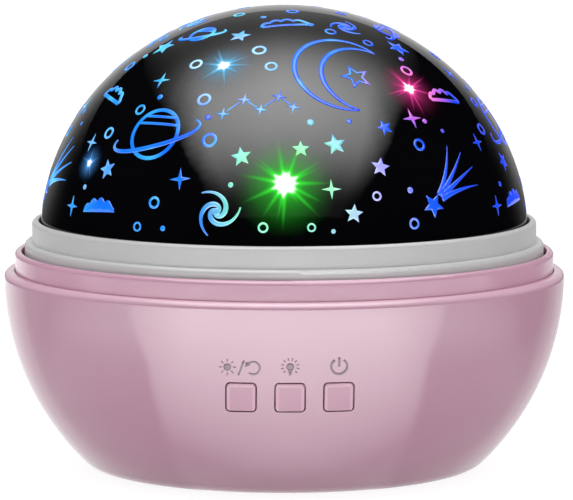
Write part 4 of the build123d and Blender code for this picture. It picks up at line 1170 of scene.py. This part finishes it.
def tent_glow():
    """Glow of the mirrored floor, from x, y and the distance away from the bowl's axis.

    The wedge is light (1 - exp(-(depth - start) / rise)) with depth = -y, dimmer off the middle and further
    away. Before the bowl light spills past the wedge. Behind it the rear and the far end are lit.
    """
    finish = Finish("tent_glow")
    place = finish.place()
    x, y = finish.axis(place, "X"), finish.axis(place, "Y")
    side, away = abs(x), finish.distance(place, (0.0, 0.0, 0.0))
    ahead = y * away**-1.0 * -1.0
    (start, slope), (far_start, far_slope) = WEDGE_EDGES
    near_edge = (start + side * slope).least(far_start + side * far_slope)
    front = (0.0 - y - near_edge).ramp(WEDGE_EDGE_SOFT)
    rise = (1 - ((y + WEDGE_START) * (1 / WEDGE_RISE)).exp()).most(0.0)
    gain, loss = WEDGE_AHEAD
    spread = (ahead * gain - loss).least(1.0) * (1 - (away - WEDGE_FADE).ramp(WEDGE_FADE_LENGTH))
    wedge = rise * spread * WEDGE_LIGHT + WEDGE_LEAST
    spill_side, spill_front = SPILL_AHEAD
    spill = (away - SPILL_START).ramp(SPILL_RISE) * (spill_side + ahead * spill_front).most(0.0)
    dim = sloped(x, *DIM_LEVEL)
    rear = (REAR_START + y - side * REAR_SLOPE).ramp(REAR_SOFT)
    far = (FAR_START + y - side * FAR_SLOPE).ramp(FAR_SOFT)
    far_middle, far_fall = FAR_LEVEL
    level = dim + rear * (sloped(x, *LIT_LEVEL) - dim) + far * (far_middle - x * far_fall)
    level = level + spill + front * (wedge - spill)
    band = (away - WEDGE_END).ramp(WEDGE_END_SOFT) * (BAND_REAR - y).ramp(BAND_REAR_SOFT)
    beyond = band * (away - BAND_END).ramp(BAND_END_SOFT)
    level = level + band * (BAND_LIGHT - level) + beyond * (dim + front - BAND_LIGHT)
    return glowing(level * (1 / TENT_LIGHT), TENT_LIGHT)


level_sheet("mirrored_floor", TENT_HALF, -TENT_HALF, TENT_HALF, TENT_LIFT, tent_glow(), ("glossy",))

# %% [markdown]
# A long soft panel hangs overhead and makes the grey sheen on the dome. It fades to both ends, and it is
# wider towards the front.

# %% Overhead panel
TOP_HEIGHT = 0.70
TOP_HALF = 0.45
TOP_FLARE = 0.27
TOP_EDGE = 0.22
TOP_SIDE_FALL = 0.9
TOP_REACH = (-2.0, 1.6)
TOP_WIDEST = 1.1
TOP_MIDDLE = -0.13
TOP_REAR_SPREAD = 0.333
TOP_FRONT_SPREAD = 0.57
TOP_LIGHT = 6.8
TOP_LEAST = 0.025
TOP_REAR_RISE = 0.3


def top_glow():
    """Overhead panel: exp(-(d / spread)^2) along y, soft at both sides, and wider towards the front."""
    finish = Finish("top_glow")
    place = finish.place()
    side, y = abs(finish.axis(place, "X")), finish.axis(place, "Y")
    away = y - TOP_MIDDLE
    fall = away.most(0.0) * (1 / TOP_REAR_SPREAD) - away.least(0.0) * (1 / TOP_FRONT_SPREAD)
    flare = y.least(0.0) * -TOP_FLARE
    across = (TOP_HALF + TOP_EDGE / 2 + flare - side).ramp(TOP_EDGE)
    shade = 1 - (side - flare).most(0.0) * TOP_SIDE_FALL
    level = (fall * fall * -1.0).exp() + TOP_LEAST + TOP_LEAST * away.ramp(TOP_REAR_RISE)
    return glowing(across * shade * level, TOP_LIGHT)


level_sheet("top_panel", TOP_WIDEST, *TOP_REACH, TOP_HEIGHT, top_glow(), ("glossy",))

# %% [markdown]
# Seen along its outline, any gloss turns into a mirror of what stands behind it. A pale backdrop there
# gives the black dome its soft bright edge.

# %% Backdrop
BACK_PLACE = 1.6
BACK_HALF = 2.4
BACK_DROP = 0.15
BACK_RISE = 0.3
BACK_LIGHT = 0.75
BACK_SPREAD = 0.85


def back_glow():
    """Backdrop: exp(-(x / spread)^2) across, rising with z over its lowest part."""
    finish = Finish("back_glow")
    place = finish.place()
    across = finish.axis(place, "X") * (1 / BACK_SPREAD)
    up = (finish.axis(place, "Z") + BACK_DROP).ramp(BACK_RISE)
    return glowing((across * across * -1.0).exp() * up, BACK_LIGHT)


x, z = np.meshgrid(np.linspace(-BACK_HALF, BACK_HALF, 9), np.linspace(-BACK_DROP, TOP_HEIGHT, 9))
stage_sheet("backdrop", np.stack([x, np.full_like(x, BACK_PLACE), z], axis=-1), back_glow(), ("glossy",))

# %% [markdown]
# One broad lamp and an even sky light the matt colour. They are kept out of reflections, because the panels
# already make those.

# %% Lamp and sky
LAMP_PLACE = Vector((0.0, 0.05, 1.3))
LAMP_AIM = Vector((0.0, 0.0, 0.05))
LAMP_WIDTH = 2.8
LAMP_DEPTH = 0.9
LAMP_POWER = 16.0
SKY_LIGHT = 0.62

light = bpy.data.lights.new("overhead", "AREA")
light.shape = "RECTANGLE"
light.size = LAMP_WIDTH
light.size_y = LAMP_DEPTH
light.energy = LAMP_POWER
lamp = bpy.data.objects.new("overhead", light)
bpy.context.collection.objects.link(lamp)
aim = (LAMP_AIM - LAMP_PLACE).to_track_quat("-Z", "Y").to_matrix().to_4x4()
lamp.matrix_world = Matrix.Translation(LAMP_PLACE) @ aim
lamp.visible_camera = False
lamp.visible_glossy = False

world = bpy.data.worlds.new("studio_sky")
world.use_nodes = True
sky = world.node_tree.nodes["Background"].inputs
sky["Color"].default_value = WHITE
sky["Strength"].default_value = SKY_LIGHT
world.cycles_visibility.glossy = False
bpy.context.scene.world = world
bpy.context.scene.view_settings.view_transform = "Standard"
print("lamp power", LAMP_POWER, "sky", SKY_LIGHT)

# %% [markdown]
# ## Camera
#
# The picture was taken from just above the dome's top, through a long lens, so upright lines stay upright.
# The focal length comes from the fitted picture: so many pixels over the picture's width, times the sensor.

# %% Camera
IMAGE_WIDTH = 573
FOCAL_PIXELS = 4895.0
SENSOR = 36.0
CAMERA_DISTANCE = 1.130
CAMERA_HEIGHT = 0.1825
CAMERA_PITCH = 6.66
CAMERA_AZIMUTH = 1.2
AXIS_LEFT_PIXELS = 2.3

lens = bpy.data.cameras.new("camera")
lens.sensor_fit = "HORIZONTAL"
lens.sensor_width = SENSOR
lens.lens = FOCAL_PIXELS / IMAGE_WIDTH * SENSOR
camera = bpy.data.objects.new("camera", lens)
bpy.context.collection.objects.link(camera)
azimuth = np.radians(CAMERA_AZIMUTH)
yaw = azimuth + AXIS_LEFT_PIXELS / FOCAL_PIXELS
camera.location = (-CAMERA_DISTANCE * np.sin(azimuth), -CAMERA_DISTANCE * np.cos(azimuth), CAMERA_HEIGHT)
turn = Matrix.Rotation(-yaw, 4, "Z") @ Matrix.Rotation(np.radians(90 - CAMERA_PITCH), 4, "X")
camera.matrix_world = Matrix.Translation(camera.location) @ turn
bpy.context.scene.camera = camera
print("lens", round(lens.lens, 1), "mm")
